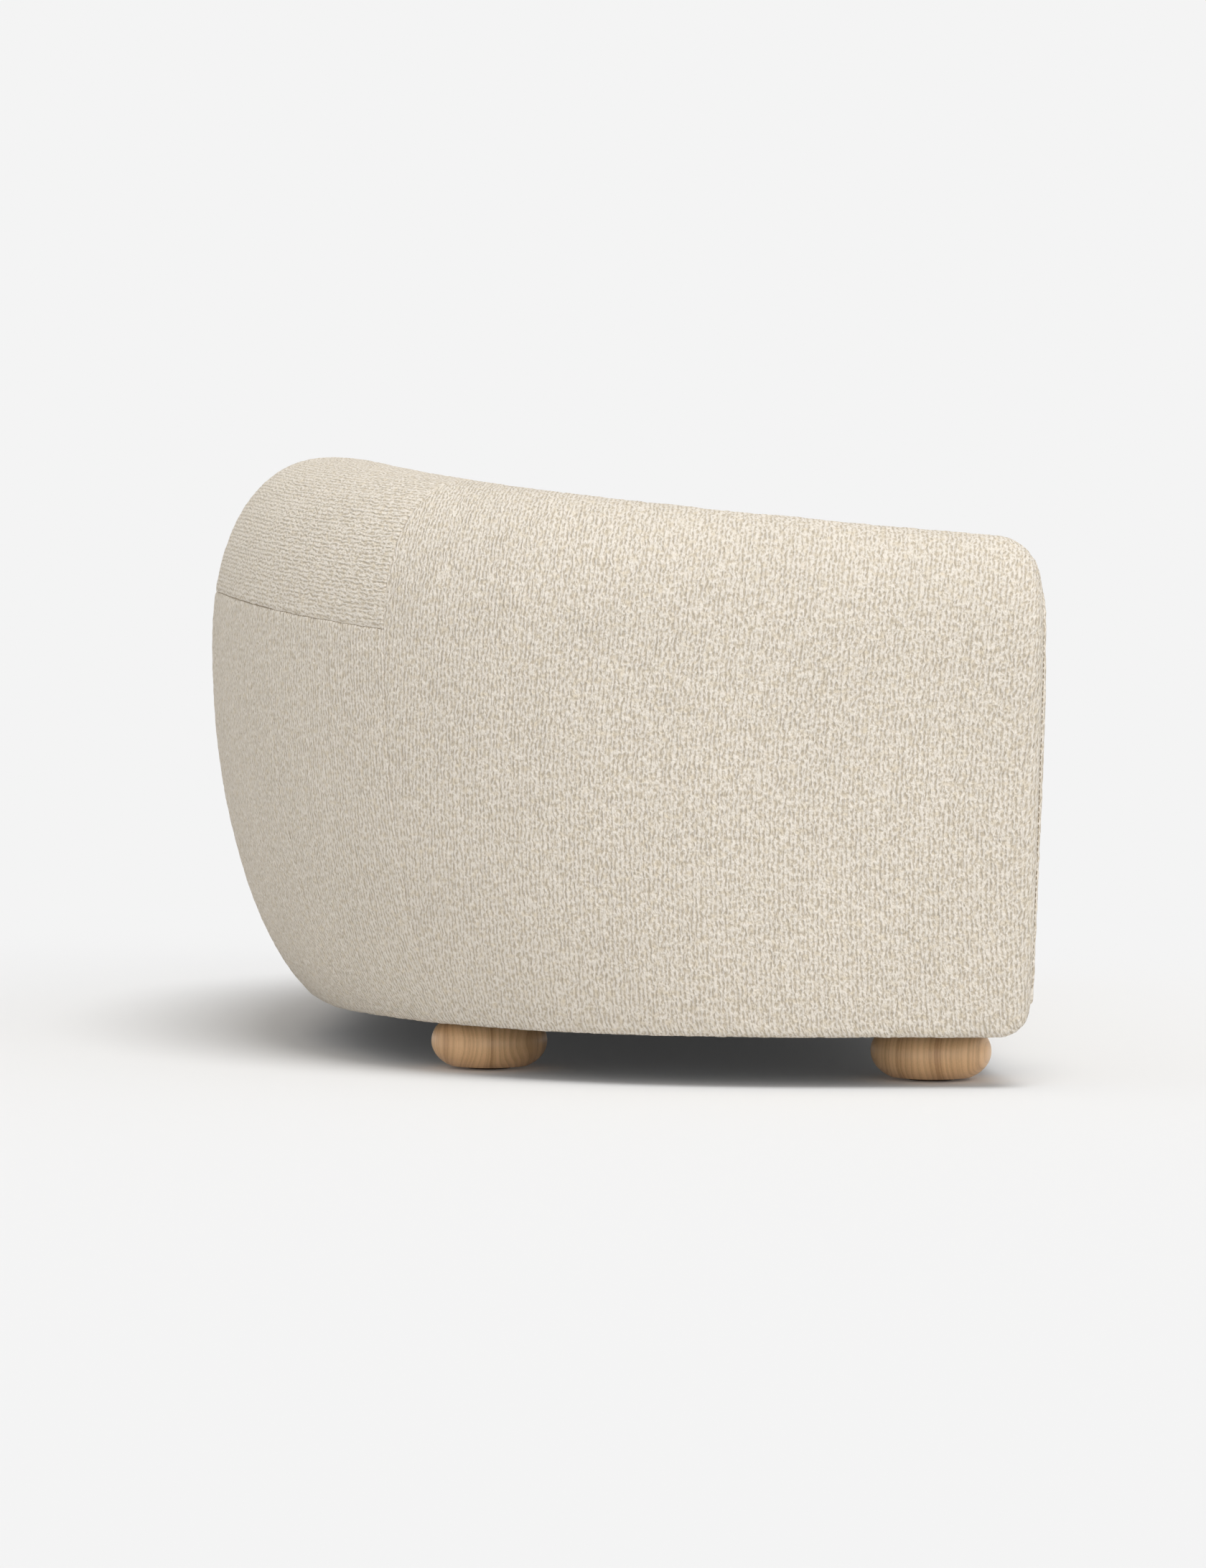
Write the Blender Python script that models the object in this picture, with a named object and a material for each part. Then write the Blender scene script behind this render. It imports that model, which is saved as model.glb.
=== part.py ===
"""Curved fabric sofa on turned wooden bun feet, one object for each real piece.

Metres, +Z up. The sofa faces -Y, left is -X, and the origin is on the floor under the
middle of the plan. The upholstered wall is one upright profile carried along the plan's
outer bottom edge, from the front of the left arm round the back to the right arm, and
covers, foams, ribs and rails are all cut from that wall at their own depths.
"""

import math

import bmesh
import bpy
import numpy as np

# Overall sizes
OVERALL_WIDTH = 2.24
OVERALL_DEPTH = 1.088
BACK_HEIGHT = 0.815
ARM_HEIGHT = 0.6445  # where the arm's top line would meet the front
UNDERSIDE_HEIGHT = 0.060
DECK_HEIGHT = 0.2535
SEAT_HEIGHT = 0.435

# Plan of the outer bottom edge: straight arms that run into a superellipse
ARM_STRAIGHT = 0.20
PLAN_POWER_X = 2.40
PLAN_POWER_Y = 2.38

# Upright profile, as (arm, middle of the back) pairs
BULGE = (0.021, 0.1415)  # how far the widest line stands out from the bottom edge
WIDEST_HEIGHT = (0.448, 0.551)
OUTER_TOP_WIDTH = (0.085, 0.164)
INNER_TOP_WIDTH = (0.098, 0.150)
INNER_TOP_DROP = (0.120, 0.130)
DECK_INSET = (0.163, 0.250)  # bottom edge to the inner face, at the deck
ARM_TOP_DROP = 0.150
BULGE_POWER = 1.39
LOWER_CURVE = 0.938
TOP_POWER = 2.22
RIDGE_SLOPE = 0.83
RIDGE_RUN = 0.874  # share of the half length over which the top line rises
RIDGE_POWER = 1.235  # above 1, the rise comes late and steep, at the corner

# Front of the arms
FACING_CROWN = 0.0075
FRONT_RAKE = 0.019
TOP_CORNER = 0.050
BOTTOM_CORNER = 0.038
SIDE_CORNER = 0.018

# Seams, measured from the front along the bottom edge or down from the top line
SIDE_SEAM = 0.745
BACK_SEAM = 0.974
BAND_DROP = 0.187
SEAM_GAP = 0.001
TOP_SEAM = 2.35  # on the profile's scale, just inside the ridge
SEAM_STEP = 0.012  # gap across a lengthwise seam, on the same scale

# Layers
FABRIC = 0.003
LAYER_GAP = 0.001
ARM_FOAM = 0.024
BACK_FOAM = 0.060
FOAM_START_SHARE = 0.12
FRAME_GAP = 0.004
TOUCH = 0.0003

# Frame
PLY = 0.018
POST_FRONT = 0.004
BASE_INSET = 0.008
BASE_WIDTH = (0.215, 0.228)
RAIL_INSET = (0.115, 0.200)
RAIL_THICKNESS = 0.025
PANEL_INSET = 0.078
PANEL_THICKNESS = 0.015
TOP_RAIL_WIDTH = 0.050
TOP_RAIL_THICKNESS = 0.020
TOP_RAIL_SINK = 0.022
WEB_THICKNESS = 0.002
WEB_WIDTH = 0.060
LONG_STRAPS = 8
CROSS_STRAPS = 3
PAD_THICKNESS = 0.040
CLOTH = 0.002
DUST_COVER_FRONT = 0.041

# Apron under the seat
APRON_SETBACK = 0.006
APRON_ROUNDING = 0.022
APRON_RETURN = 0.025
APRON_TOP_RUN = 0.090

# Seat cushions
CUSHION_GAP = 0.006
CUSHION_CENTRE_GAP = 0.004
CUSHION_SETBACK = 0.006
CUSHION_EDGE = 0.030
CUSHION_CORNER = 0.035
CUSHION_CROWN = 0.018
ZIP_START = 0.10  # from the sofa's middle
ZIP_END = 0.62
ZIP_HEIGHT = 0.008
ZIP_TAPE = 0.002

# Feet
FOOT_RADIUS = 0.0727
FOOT_HALF_HEIGHT = 0.0346
FOOT_ROUND = 0.0432
GLIDE_RADIUS = 0.027
GLIDE_THICKNESS = 0.0025
BOLT_RADIUS = 0.004
BOLT_CLEARANCE = 0.0007
BOLT_DEPTH = 0.045  # into the foot
FRONT_FOOT = (0.1025, 0.140)  # from the front along the bottom edge, and in from it
BACK_FOOT = (0.796, 0.0936)
LEG_RADIUS = 0.022

# Names for places on the profile's scale
FOOT_LINE, TOP_START, RIDGE, SHOULDER, DECK_LINE, INNER_FOOT = range(6)
STEPS = 16  # profile points from one named place to the next


def clear_scene():
    for thing in list(bpy.data.objects):
        bpy.data.objects.remove(thing, do_unlink=True)


def blend(pair, share):
    return pair[0] + (pair[1] - pair[0]) * share


# ---------------------------------------------------------------- plan


HALF_WIDTH = OVERALL_WIDTH / 2 - BULGE[0]
FRONT_Y = -OVERALL_DEPTH / 2 + FACING_CROWN + FRONT_RAKE
CURVE_Y = FRONT_Y + ARM_STRAIGHT
BACK_Y = OVERALL_DEPTH / 2 - BULGE[1]
CURVE_DEPTH = BACK_Y - CURVE_Y


def plan_edge():
    """The left half of the outer bottom edge, as points and their distance from the front."""
    turn = np.linspace(0, math.pi / 2, 600)
    x = -HALF_WIDTH * np.cos(turn) ** (2 / PLAN_POWER_X)
    y = CURVE_Y + CURVE_DEPTH * np.sin(turn) ** (2 / PLAN_POWER_Y)
    x = np.append(-HALF_WIDTH, x)
    y = np.append(FRONT_Y, y)
    along = np.append(0, np.cumsum(np.hypot(np.diff(x), np.diff(y))))
    return x, y, along


EDGE_X, EDGE_Y, EDGE_ALONG = plan_edge()
HALF_LENGTH = EDGE_ALONG[-1]
LENGTH = 2 * HALF_LENGTH


def place(along):
    """A point on the bottom edge, its outward normal, and how much it belongs to the back."""
    near = min(along, LENGTH - along)
    x = np.interp(near, EDGE_ALONG, EDGE_X)
    y = np.interp(near, EDGE_ALONG, EDGE_Y)
    out_x = -PLAN_POWER_X * (abs(x) / HALF_WIDTH) ** (PLAN_POWER_X - 1) / HALF_WIDTH
    rise = max(y - CURVE_Y, 0) / CURVE_DEPTH
    out_y = PLAN_POWER_Y * rise ** (PLAN_POWER_Y - 1) / CURVE_DEPTH
    normal = np.array([out_x, out_y]) / math.hypot(out_x, out_y)
    point = np.array([x, y])
    if along > HALF_LENGTH:
        point[0] *= -1
        normal[0] *= -1
    return point, normal, normal[1]


def stations():
    """Places along the left half where every layer has a section: seams fall on them."""
    turn = np.linspace(0, math.pi / 2, 6)
    front = TOP_CORNER * (1 - np.cos(turn))
    side = np.linspace(TOP_CORNER, SIDE_SEAM, 7)[1:]
    corner = np.linspace(SIDE_SEAM, BACK_SEAM, 4)[1:]
    back = np.linspace(BACK_SEAM, HALF_LENGTH, 7)[1:]
    return np.concatenate([front, side, corner, back])


HALF_STATIONS = stations()
STATIONS = np.append(HALF_STATIONS, LENGTH - HALF_STATIONS[-2::-1])


def between(start, end):
    """The stations from start to end, with both ends themselves."""
    inner = STATIONS[(STATIONS > start + 2 * LAYER_GAP) & (STATIONS < end - 2 * LAYER_GAP)]
    return np.concatenate([[start], inner, [end]])


# ---------------------------------------------------------------- profile


def ridge_height(along):
    x = min(min(along, LENGTH - along) / (RIDGE_RUN * HALF_LENGTH), 1)
    late = x**RIDGE_POWER
    rise = RIDGE_SLOPE * (x**3 - 2 * x**2 + x) + 3 * late**2 - 2 * late**3
    return ARM_HEIGHT + (BACK_HEIGHT - ARM_HEIGHT) * rise


def corner_drop(radius, along):
    """How far a quarter round of this radius has dropped at this distance from the front."""
    left = max(radius - min(along, LENGTH - along), 0)
    return radius - math.sqrt(radius**2 - left**2)


def profile(along):
    """(outward offset, height) of the wall's surface, from the outer foot over the top."""
    share = place(along)[2]
    bulge = blend(BULGE, share**BULGE_POWER)
    widest = blend(WIDEST_HEIGHT, share)
    outer = blend(OUTER_TOP_WIDTH, share**BULGE_POWER)
    inner = blend(INNER_TOP_WIDTH, share)
    inner_drop = blend(INNER_TOP_DROP, share)
    deck = -blend(DECK_INSET, share)
    top = ridge_height(along)
    outer_drop = blend((ARM_TOP_DROP, top - widest), share)
    step = np.linspace(0, 1, STEPS + 1)
    turn = step * math.pi / 2
    reach = bulge / (1 - math.sqrt(1 - LOWER_CURVE**2))
    span = (widest - UNDERSIDE_HEIGHT) / LOWER_CURVE
    low_z = UNDERSIDE_HEIGHT + (top - outer_drop - UNDERSIDE_HEIGHT) * step
    below = np.clip((widest - low_z) / span, 0, 1)
    low = np.array([bulge - reach * (1 - np.sqrt(1 - below**2)), low_z])
    across = np.cos(turn) ** (2 / TOP_POWER)
    up = np.sin(turn) ** (2 / TOP_POWER)
    over = np.array([bulge - outer + outer * across, top - outer_drop * (1 - up)])
    crest = bulge - outer
    inside = np.array([crest - inner * across, top - inner_drop * (1 - up)])[:, ::-1]
    shoulder = inside[:, -1]
    face = np.array([blend((shoulder[0], deck), step), blend((shoulder[1], DECK_HEIGHT), step)])
    base = np.array([np.full(STEPS + 1, deck), blend((DECK_HEIGHT, UNDERSIDE_HEIGHT), step)])
    points = np.concatenate([low, over[:, 1:], inside[:, 1:], face[:, 1:], base[:, 1:]], 1).T
    lift = corner_drop(BOTTOM_CORNER, along)
    full = top - UNDERSIDE_HEIGHT
    shrunk = full - lift - corner_drop(TOP_CORNER, along)
    points[:, 1] = UNDERSIDE_HEIGHT + lift + (points[:, 1] - UNDERSIDE_HEIGHT) * shrunk / full
    width = bulge - deck
    narrowed = width - corner_drop(SIDE_CORNER, along)
    points[:, 0] = deck + (points[:, 0] - deck) * narrowed / width
    return points


def inset(points, depth):
    """The profile moved inwards by depth, along its own normals."""
    slope = np.gradient(points, axis=0)
    slope /= np.linalg.norm(slope, axis=1)[:, None]
    inward = np.stack([-slope[:, 1], slope[:, 0]], 1)
    return points + inward * np.reshape(depth, (-1, 1))


def at(points, spot):
    """The profile's points at these places on its scale."""
    index = np.asarray(spot) * STEPS
    known = np.arange(len(points))
    return np.stack([np.interp(index, known, points[:, k]) for k in (0, 1)], -1)


def spot_at_height(along, height, low=FOOT_LINE, high=RIDGE):
    """Where the surface reaches this height between two places on the profile's scale."""
    points = profile(along)[low * STEPS : high * STEPS + 1]
    spots = np.linspace(low, high, len(points))
    order = np.argsort(points[:, 1])
    return float(np.interp(height, points[order, 1], spots[order]))


def to_world(along, points):
    """Profile points (offset, height) set upright at their place on the plan."""
    point, normal, _ = place(along)
    near = min(along, LENGTH - along)
    lean = FRONT_RAKE * max(0, 1 - near / ARM_STRAIGHT / 3)
    points = np.atleast_2d(points)
    forward = lean * (points[:, 1] - UNDERSIDE_HEIGHT) / (ARM_HEIGHT - UNDERSIDE_HEIGHT)
    x = point[0] + normal[0] * points[:, 0]
    y = point[1] + normal[1] * points[:, 0] - forward
    return np.stack([x, y, points[:, 1]], -1)


# ---------------------------------------------------------------- meshes


def material(name, colour, roughness, metallic=0.0):
    made = bpy.data.materials.get(name) or bpy.data.materials.new(name)
    made.use_nodes = True
    shader = made.node_tree.nodes["Principled BSDF"]
    shader.inputs["Base Color"].default_value = (*colour, 1)
    shader.inputs["Roughness"].default_value = roughness
    shader.inputs["Metallic"].default_value = metallic
    made.diffuse_color = (*colour, 1)
    return made


BOUCLE = ("boucle", (0.76, 0.70, 0.60), 0.95)
LINING = ("lining", (0.60, 0.56, 0.48), 0.95)
DUST_CLOTH = ("dust_cloth", (0.03, 0.03, 0.03), 0.95)
TURNED_WOOD = ("turned_wood", (0.36, 0.22, 0.12), 0.45)
PLYWOOD = ("plywood", (0.60, 0.42, 0.25), 0.70)
SOFTWOOD = ("softwood", (0.68, 0.50, 0.30), 0.70)
FOAM = ("foam", (0.85, 0.78, 0.58), 0.90)
WEBBING = ("webbing", (0.20, 0.17, 0.13), 0.90)
STEEL = ("steel", (0.55, 0.55, 0.55), 0.35, 1.0)
FELT = ("felt", (0.12, 0.10, 0.09), 1.0)
ZIP = ("zip_tape", (0.66, 0.61, 0.52), 0.60)


def add_object(name, vertices, faces, look, smooth=False):
    mesh = bpy.data.meshes.new(name)
    mesh.from_pydata([tuple(map(float, v)) for v in vertices], [], faces)
    made = bmesh.new()
    made.from_mesh(mesh)
    bmesh.ops.recalc_face_normals(made, faces=made.faces)
    if made.calc_volume(signed=True) < 0:
        bmesh.ops.reverse_faces(made, faces=made.faces)
    made.to_mesh(mesh)
    made.free()
    mesh.materials.append(material(*look))
    if smooth:
        mesh.shade_smooth()
        mesh.set_sharp_from_angle(angle=math.radians(40))
    thing = bpy.data.objects.new(name, mesh)
    bpy.context.scene.collection.objects.link(thing)
    return thing


def grid_faces(rows, columns, start, flip, mirrored):
    """Two triangles for each cell, whose diagonal is mirrored on the sofa's right half."""
    faces = []
    for i in range(rows - 1):
        for j in range(columns - 1):
            a = start + i * columns + j
            b, c, d = a + 1, a + columns + 1, a + columns
            halves = [(a, b, d), (b, c, d)] if mirrored[i] else [(a, b, c), (a, c, d)]
            faces += [half[::-1] if flip else half for half in halves]
    return faces


def slab(name, front, back, look):
    """A closed sheet between two grids of points of the same shape."""
    rows, columns = front.shape[:2]
    size = rows * columns
    mirrored = (front[:-1, 0, 0] + front[1:, 0, 0]) > 0
    faces = grid_faces(rows, columns, 0, False, mirrored)
    faces += grid_faces(rows, columns, size, True, mirrored)
    rim = [j for j in range(columns)]
    rim += [i * columns + columns - 1 for i in range(1, rows)]
    rim += [(rows - 1) * columns + j for j in range(columns - 2, -1, -1)]
    rim += [i * columns for i in range(rows - 2, 0, -1)]
    for a, b in zip(rim, rim[1:] + rim[:1]):
        faces.append((a, b, b + size, a + size))
    points = np.concatenate([front.reshape(-1, 3), back.reshape(-1, 3)])
    return add_object(name, points, faces, look, smooth=True)


def loft(name, rings, look, smooth=True):
    """A closed solid through rings of points, with a flat cap at each end."""
    count = len(rings[0])
    faces = [tuple(range(count)), tuple((len(rings) - 1) * count + i for i in range(count))]
    for k in range(len(rings) - 1):
        for i in range(count):
            a, b = k * count + i, k * count + (i + 1) % count
            faces.append((a, b, b + count, a + count))
    return add_object(name, np.concatenate(rings), faces, look, smooth)


def prism(name, outline, low, high, look):
    """A flat outline, given as (x, y), between two heights."""
    rings = [[(x, y, z) for x, y in outline] for z in (low, high)]
    return loft(name, rings, look, smooth=False)


def box(name, low, high, look):
    outline = [(low[0], low[1]), (high[0], low[1]), (high[0], high[1]), (low[0], high[1])]
    return prism(name, outline, low[2], high[2], look)


def turned(name, outline, centre, look, segments=22):
    """A solid of revolution from (radius, height) points that start and end on the axis."""
    points = [(centre[0], centre[1], outline[0][1])]
    for radius, height in outline[1:-1]:
        for k in range(segments):
            angle = 2 * math.pi * k / segments
            x = centre[0] + radius * math.cos(angle)
            points.append((x, centre[1] + radius * math.sin(angle), height))
    points.append((centre[0], centre[1], outline[-1][1]))
    last = len(points) - 1
    faces = []
    for k in range(segments):
        following = (k + 1) % segments
        faces.append((0, 1 + following, 1 + k))
        faces.append((last, last - segments + k, last - segments + following))
        for ring in range(len(outline) - 3):
            a = 1 + ring * segments + k
            b = 1 + ring * segments + following
            faces.append((a, b, b + segments, a + segments))
    return add_object(name, points, faces, look, smooth=True)


def join(thing, other):
    """A lasting union with a helper shape."""
    other.hide_render = True
    other.display_type = "WIRE"
    union = thing.modifiers.new("Join " + other.name, "BOOLEAN")
    union.operation = "UNION"
    union.solver = "EXACT"
    union.object = other


def cut(thing, cutters):
    for cutter in cutters:
        cutter.hide_render = True
        cutter.display_type = "WIRE"
        hole = thing.modifiers.new("Cut " + cutter.name, "BOOLEAN")
        hole.operation = "DIFFERENCE"
        hole.solver = "EXACT"
        hole.object = cutter


# ---------------------------------------------------------------- pieces of the wall


def wall_grid(alongs, spots, depth):
    """Points on the wall at a depth under its surface. spots and depth may depend on along."""
    rows = []
    for along in alongs:
        where = spots(along) if callable(spots) else spots
        deep = depth(along) if callable(depth) else depth
        rows.append(to_world(along, at(inset(profile(along), deep), where)))
    return np.array(rows)


def wall_slab(name, alongs, spots, outer_depth, inner_depth, look):
    front = wall_grid(alongs, spots, outer_depth)
    back = wall_grid(alongs, spots, inner_depth)
    return slab(name, front, back, look)


def board(name, alongs, outer, inner, low, high, look):
    """A board that follows the plan, with offsets and heights as functions of the place."""
    rows = []
    for along in alongs:
        share = place(along)[2]
        near, far = outer(share), inner(share)
        bottom, top = low(along), high(along)
        ring = [(near, bottom), (near, top), (far, top), (far, bottom)]
        rows.append(to_world(along, np.array(ring)))
    return loft(name, rows, look, smooth=False)


def constant(value):
    return lambda _: value


def side_ranges(start, end):
    """The same stretch of the wall on the left and on the right."""
    return (("left", between(start, end)), ("right", between(LENGTH - end, LENGTH - start)))


TUCK_HEIGHT = DECK_HEIGHT - CLOTH - PAD_THICKNESS - LAYER_GAP
TUCK_SPOT = DECK_LINE + (DECK_HEIGHT - TUCK_HEIGHT) / (DECK_HEIGHT - UNDERSIDE_HEIGHT)
LOW_SPOTS = np.linspace(FOOT_LINE, TOP_START, 5)
ARM_HIGH_SPOTS = np.linspace(TOP_START, TOP_SEAM - SEAM_STEP, 8)[1:]
INNER_SPOTS = np.append(np.linspace(TOP_SEAM, SHOULDER, 4), [DECK_LINE, TUCK_SPOT])


def foam_thickness(along):
    return blend((ARM_FOAM, BACK_FOAM), place(along)[2])


def band_spot(along):
    """Where the seam round the back runs, on the profile's scale."""
    return spot_at_height(along, ridge_height(along) - BAND_DROP)


def foam_depth(along):
    """Depth of the foam's far side: thin where it starts outside, full from the ridge on."""
    spots = np.arange(INNER_FOOT * STEPS + 1) / STEPS
    start = band_spot(along)
    grown = np.clip((spots - start) / (RIDGE - start), FOAM_START_SHARE, 1)
    return FABRIC + LAYER_GAP + foam_thickness(along) * grown


def arm_outer_spots(_):
    return np.append(LOW_SPOTS, ARM_HIGH_SPOTS)


def back_lower_spots(along):
    return np.linspace(FOOT_LINE, band_spot(along) - SEAM_STEP, len(LOW_SPOTS) + 2)


def band_spots(along):
    return np.linspace(band_spot(along), TOP_SEAM - SEAM_STEP, 7)


def make_arm_covers():
    for side, alongs in side_ranges(0, SIDE_SEAM - SEAM_GAP / 2):
        wall_slab("outside_arm_cover_" + side, alongs, arm_outer_spots, 0, FABRIC, BOUCLE)
        wall_slab("inside_arm_cover_" + side, alongs, INNER_SPOTS, 0, FABRIC, BOUCLE)


def make_back_covers():
    start = SIDE_SEAM + SEAM_GAP / 2
    for side, alongs in side_ranges(start, BACK_SEAM - SEAM_GAP / 2):
        wall_slab("outside_back_cover_" + side, alongs, back_lower_spots, 0, FABRIC, BOUCLE)
    middle = between(BACK_SEAM + SEAM_GAP / 2, LENGTH - BACK_SEAM - SEAM_GAP / 2)
    wall_slab("outside_back_cover_center", middle, back_lower_spots, 0, FABRIC, BOUCLE)
    whole = between(start, LENGTH - start)
    wall_slab("back_top_band_cover", whole, band_spots, 0, FABRIC, BOUCLE)
    wall_slab("inside_back_cover", whole, INNER_SPOTS, 0, FABRIC, BOUCLE)


def arm_foam_spots(_):
    return np.append(ARM_HIGH_SPOTS[2:], INNER_SPOTS)


def back_foam_spots(along):
    return np.append(band_spots(along)[1:], INNER_SPOTS)


def make_foams():
    shallow = FABRIC + LAYER_GAP
    post_back = POST_FRONT + PLY + LAYER_GAP
    for side, alongs in side_ranges(post_back, SIDE_SEAM - SEAM_GAP):
        wall_slab("arm_foam_" + side, alongs, arm_foam_spots, shallow, foam_depth, FOAM)
    whole = between(SIDE_SEAM + SEAM_GAP, LENGTH - SIDE_SEAM - SEAM_GAP)
    wall_slab("back_foam", whole, back_foam_spots, shallow, foam_depth, FOAM)


def make_arm_facings():
    """The crowned panel that closes the front of each arm."""
    spots = np.concatenate([np.linspace(0, 1, 6), np.linspace(1, 3, 17)[1:], [3.5, 4, 4.5, 5]])
    for side, along in (("left", 0.0), ("right", LENGTH)):
        outline = to_world(along, at(inset(profile(along), 0.0005), spots))
        centre = outline.mean(0)
        rings = []
        for share in (1, 1, 0.86, 0.6, 0.3):
            ring = centre + (outline - centre) * share
            ring[:, 1] = outline[:, 1] - FACING_CROWN * (1 - share**4) - TOUCH
            rings.append(ring)
        rings[1][:, 1] -= FABRIC
        facing = loft("arm_facing_" + side, rings, BOUCLE)
        join(facing, facing_return(side))


def facing_return(side):
    """The strip that carries a facing round the arm's lower front corner and back under it."""
    rows = []
    for along in np.append(HALF_STATIONS[HALF_STATIONS < BOTTOM_CORNER], BOTTOM_CORNER):
        outer, low = profile(along)[0]
        inner = -DECK_INSET[0]
        outer -= FABRIC + 1.5 * LAYER_GAP
        ring = [(outer, low), (inner, low), (inner, low + FABRIC), (outer, low + FABRIC)]
        rows.append(to_world(along if side == "left" else LENGTH - along, np.array(ring)))
    rows.insert(0, rows[0] - np.array([0, FABRIC / 2 + TOUCH, 0]))
    return loft("facing_return_" + side, rows, BOUCLE, smooth=False)


def make_apron():
    """The fabric under the seat: a short return below, the front, and a run over the deck."""
    reach = HALF_WIDTH - DECK_INSET[0] - SEAM_GAP
    front = FRONT_Y + APRON_SETBACK
    turn = np.linspace(0, math.pi / 2, 5)
    outer = [(front + APRON_RETURN, UNDERSIDE_HEIGHT), (front, UNDERSIDE_HEIGHT)]
    inner = [(front + APRON_RETURN, UNDERSIDE_HEIGHT + FABRIC)]
    inner.append((front + FABRIC, UNDERSIDE_HEIGHT + FABRIC))
    for radius, outline in ((APRON_ROUNDING, outer), (APRON_ROUNDING - FABRIC, inner)):
        for angle in turn:
            y = front + APRON_ROUNDING - radius * math.cos(angle)
            outline.append((y, DECK_HEIGHT - APRON_ROUNDING + radius * math.sin(angle)))
    outer.append((front + APRON_TOP_RUN, DECK_HEIGHT))
    inner.append((front + APRON_TOP_RUN, DECK_HEIGHT - FABRIC))
    ring = outer + inner[::-1]
    rings = [[(x, y, z) for y, z in ring] for x in (-reach, reach)]
    loft("front_apron_cover", rings, BOUCLE)


# ---------------------------------------------------------------- frame


PLATE_LOW = UNDERSIDE_HEIGHT + FABRIC + LAYER_GAP
PLATE_TOP = PLATE_LOW + PLY
WEB_LOW = TUCK_HEIGHT - WEB_THICKNESS - LAYER_GAP
RAIL_LOW = PLATE_TOP + TOUCH
RAIL_TOP = WEB_LOW - TOUCH
DEEP = FABRIC + FRAME_GAP
FRONT_RAIL_Y = FRONT_Y + APRON_SETBACK + FABRIC + FRAME_GAP


def rail_face(share):
    return -blend(RAIL_INSET, share)


def rail_back(share):
    return rail_face(share) - RAIL_THICKNESS


def top_rail_top(along):
    return ridge_height(along) - foam_thickness(along) - FABRIC - TOP_RAIL_SINK


def top_rail_low(along):
    return top_rail_top(along) - TOP_RAIL_THICKNESS


def crest_offset(share):
    return blend(BULGE, share**BULGE_POWER) - blend(OUTER_TOP_WIDTH, share**BULGE_POWER)


def bolt_cutter(name, centre):
    radius = BOLT_RADIUS + BOLT_CLEARANCE
    low, high = UNDERSIDE_HEIGHT - PLY, PLATE_TOP + PLY
    outline = [(0, low), (radius, low), (radius, high), (0, high)]
    return turned("bolt_hole_" + name, outline, centre, STEEL, segments=12)


def foot_places():
    spots = {}
    for row, (along, inward) in (("front", FRONT_FOOT), ("back", BACK_FOOT)):
        for side, where in (("left", along), ("right", LENGTH - along)):
            point, normal, _ = place(where)
            spots[row + "_" + side] = point - normal * inward
    return spots


def make_base_plates(cutters):
    """Plywood plates round the bottom, which the feet screw into and the frame stands on."""
    outer = constant(-BASE_INSET)
    low, high = constant(PLATE_LOW), constant(PLATE_TOP)

    def inner(share):
        return -blend(BASE_WIDTH, share)

    split = BACK_SEAM
    for side, alongs in side_ranges(BOTTOM_CORNER, split - TOUCH):
        plate = board("base_plate_" + side, alongs, outer, inner, low, high, PLYWOOD)
        cut(plate, [cutters["front_" + side], cutters["back_" + side]])
    back = between(split + TOUCH, LENGTH - split - TOUCH)
    board("base_plate_back", back, outer, inner, low, high, PLYWOOD)
    reach = HALF_WIDTH - BASE_WIDTH[0] - 2 * TOUCH
    front_low = (-reach, FRONT_RAIL_Y, PLATE_LOW)
    box("base_plate_front", front_low, (reach, FRONT_RAIL_Y + 0.10, PLATE_TOP), PLYWOOD)


def make_seat_rails():
    low, high = constant(RAIL_LOW), constant(RAIL_TOP)
    for side, alongs in side_ranges(BOTTOM_CORNER, SIDE_SEAM - TOUCH):
        board("seat_rail_" + side, alongs, rail_face, rail_back, low, high, SOFTWOOD)
    whole = between(SIDE_SEAM + TOUCH, LENGTH - SIDE_SEAM - TOUCH)
    board("seat_rail_back", whole, rail_face, rail_back, low, high, SOFTWOOD)
    reach = HALF_WIDTH - DECK_INSET[0] + FABRIC
    rail_end = FRONT_RAIL_Y + RAIL_THICKNESS
    box("seat_rail_front", (-reach, FRONT_RAIL_Y, RAIL_LOW), (reach, rail_end, RAIL_TOP), SOFTWOOD)
    back_end = BACK_Y - RAIL_INSET[1] - RAIL_THICKNESS - FRAME_GAP
    half = RAIL_THICKNESS / 2
    low_corner = (-half, rail_end + TOUCH, RAIL_LOW)
    box("seat_rail_middle", low_corner, (half, back_end, RAIL_TOP), SOFTWOOD)


def make_ribs():
    """Plywood ribs that give the back its curve. Each leans out over the seat rail."""
    middle = BACK_SEAM + (HALF_LENGTH - BACK_SEAM) / 3
    names = {"corner": SIDE_SEAM, "back": middle}
    spots = {"back_rib_center": HALF_LENGTH}
    for name, along in names.items():
        spots[f"{name}_rib_left"] = along
        spots[f"{name}_rib_right"] = LENGTH - along
    for name, along in spots.items():
        outline = rib_outline(along)
        flat = to_world(along, outline)
        normal = place(along)[1]
        side = np.array([-normal[1], normal[0], 0]) * PLY / 2
        loft(name, [flat - side, flat + side], PLYWOOD, smooth=False)


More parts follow.
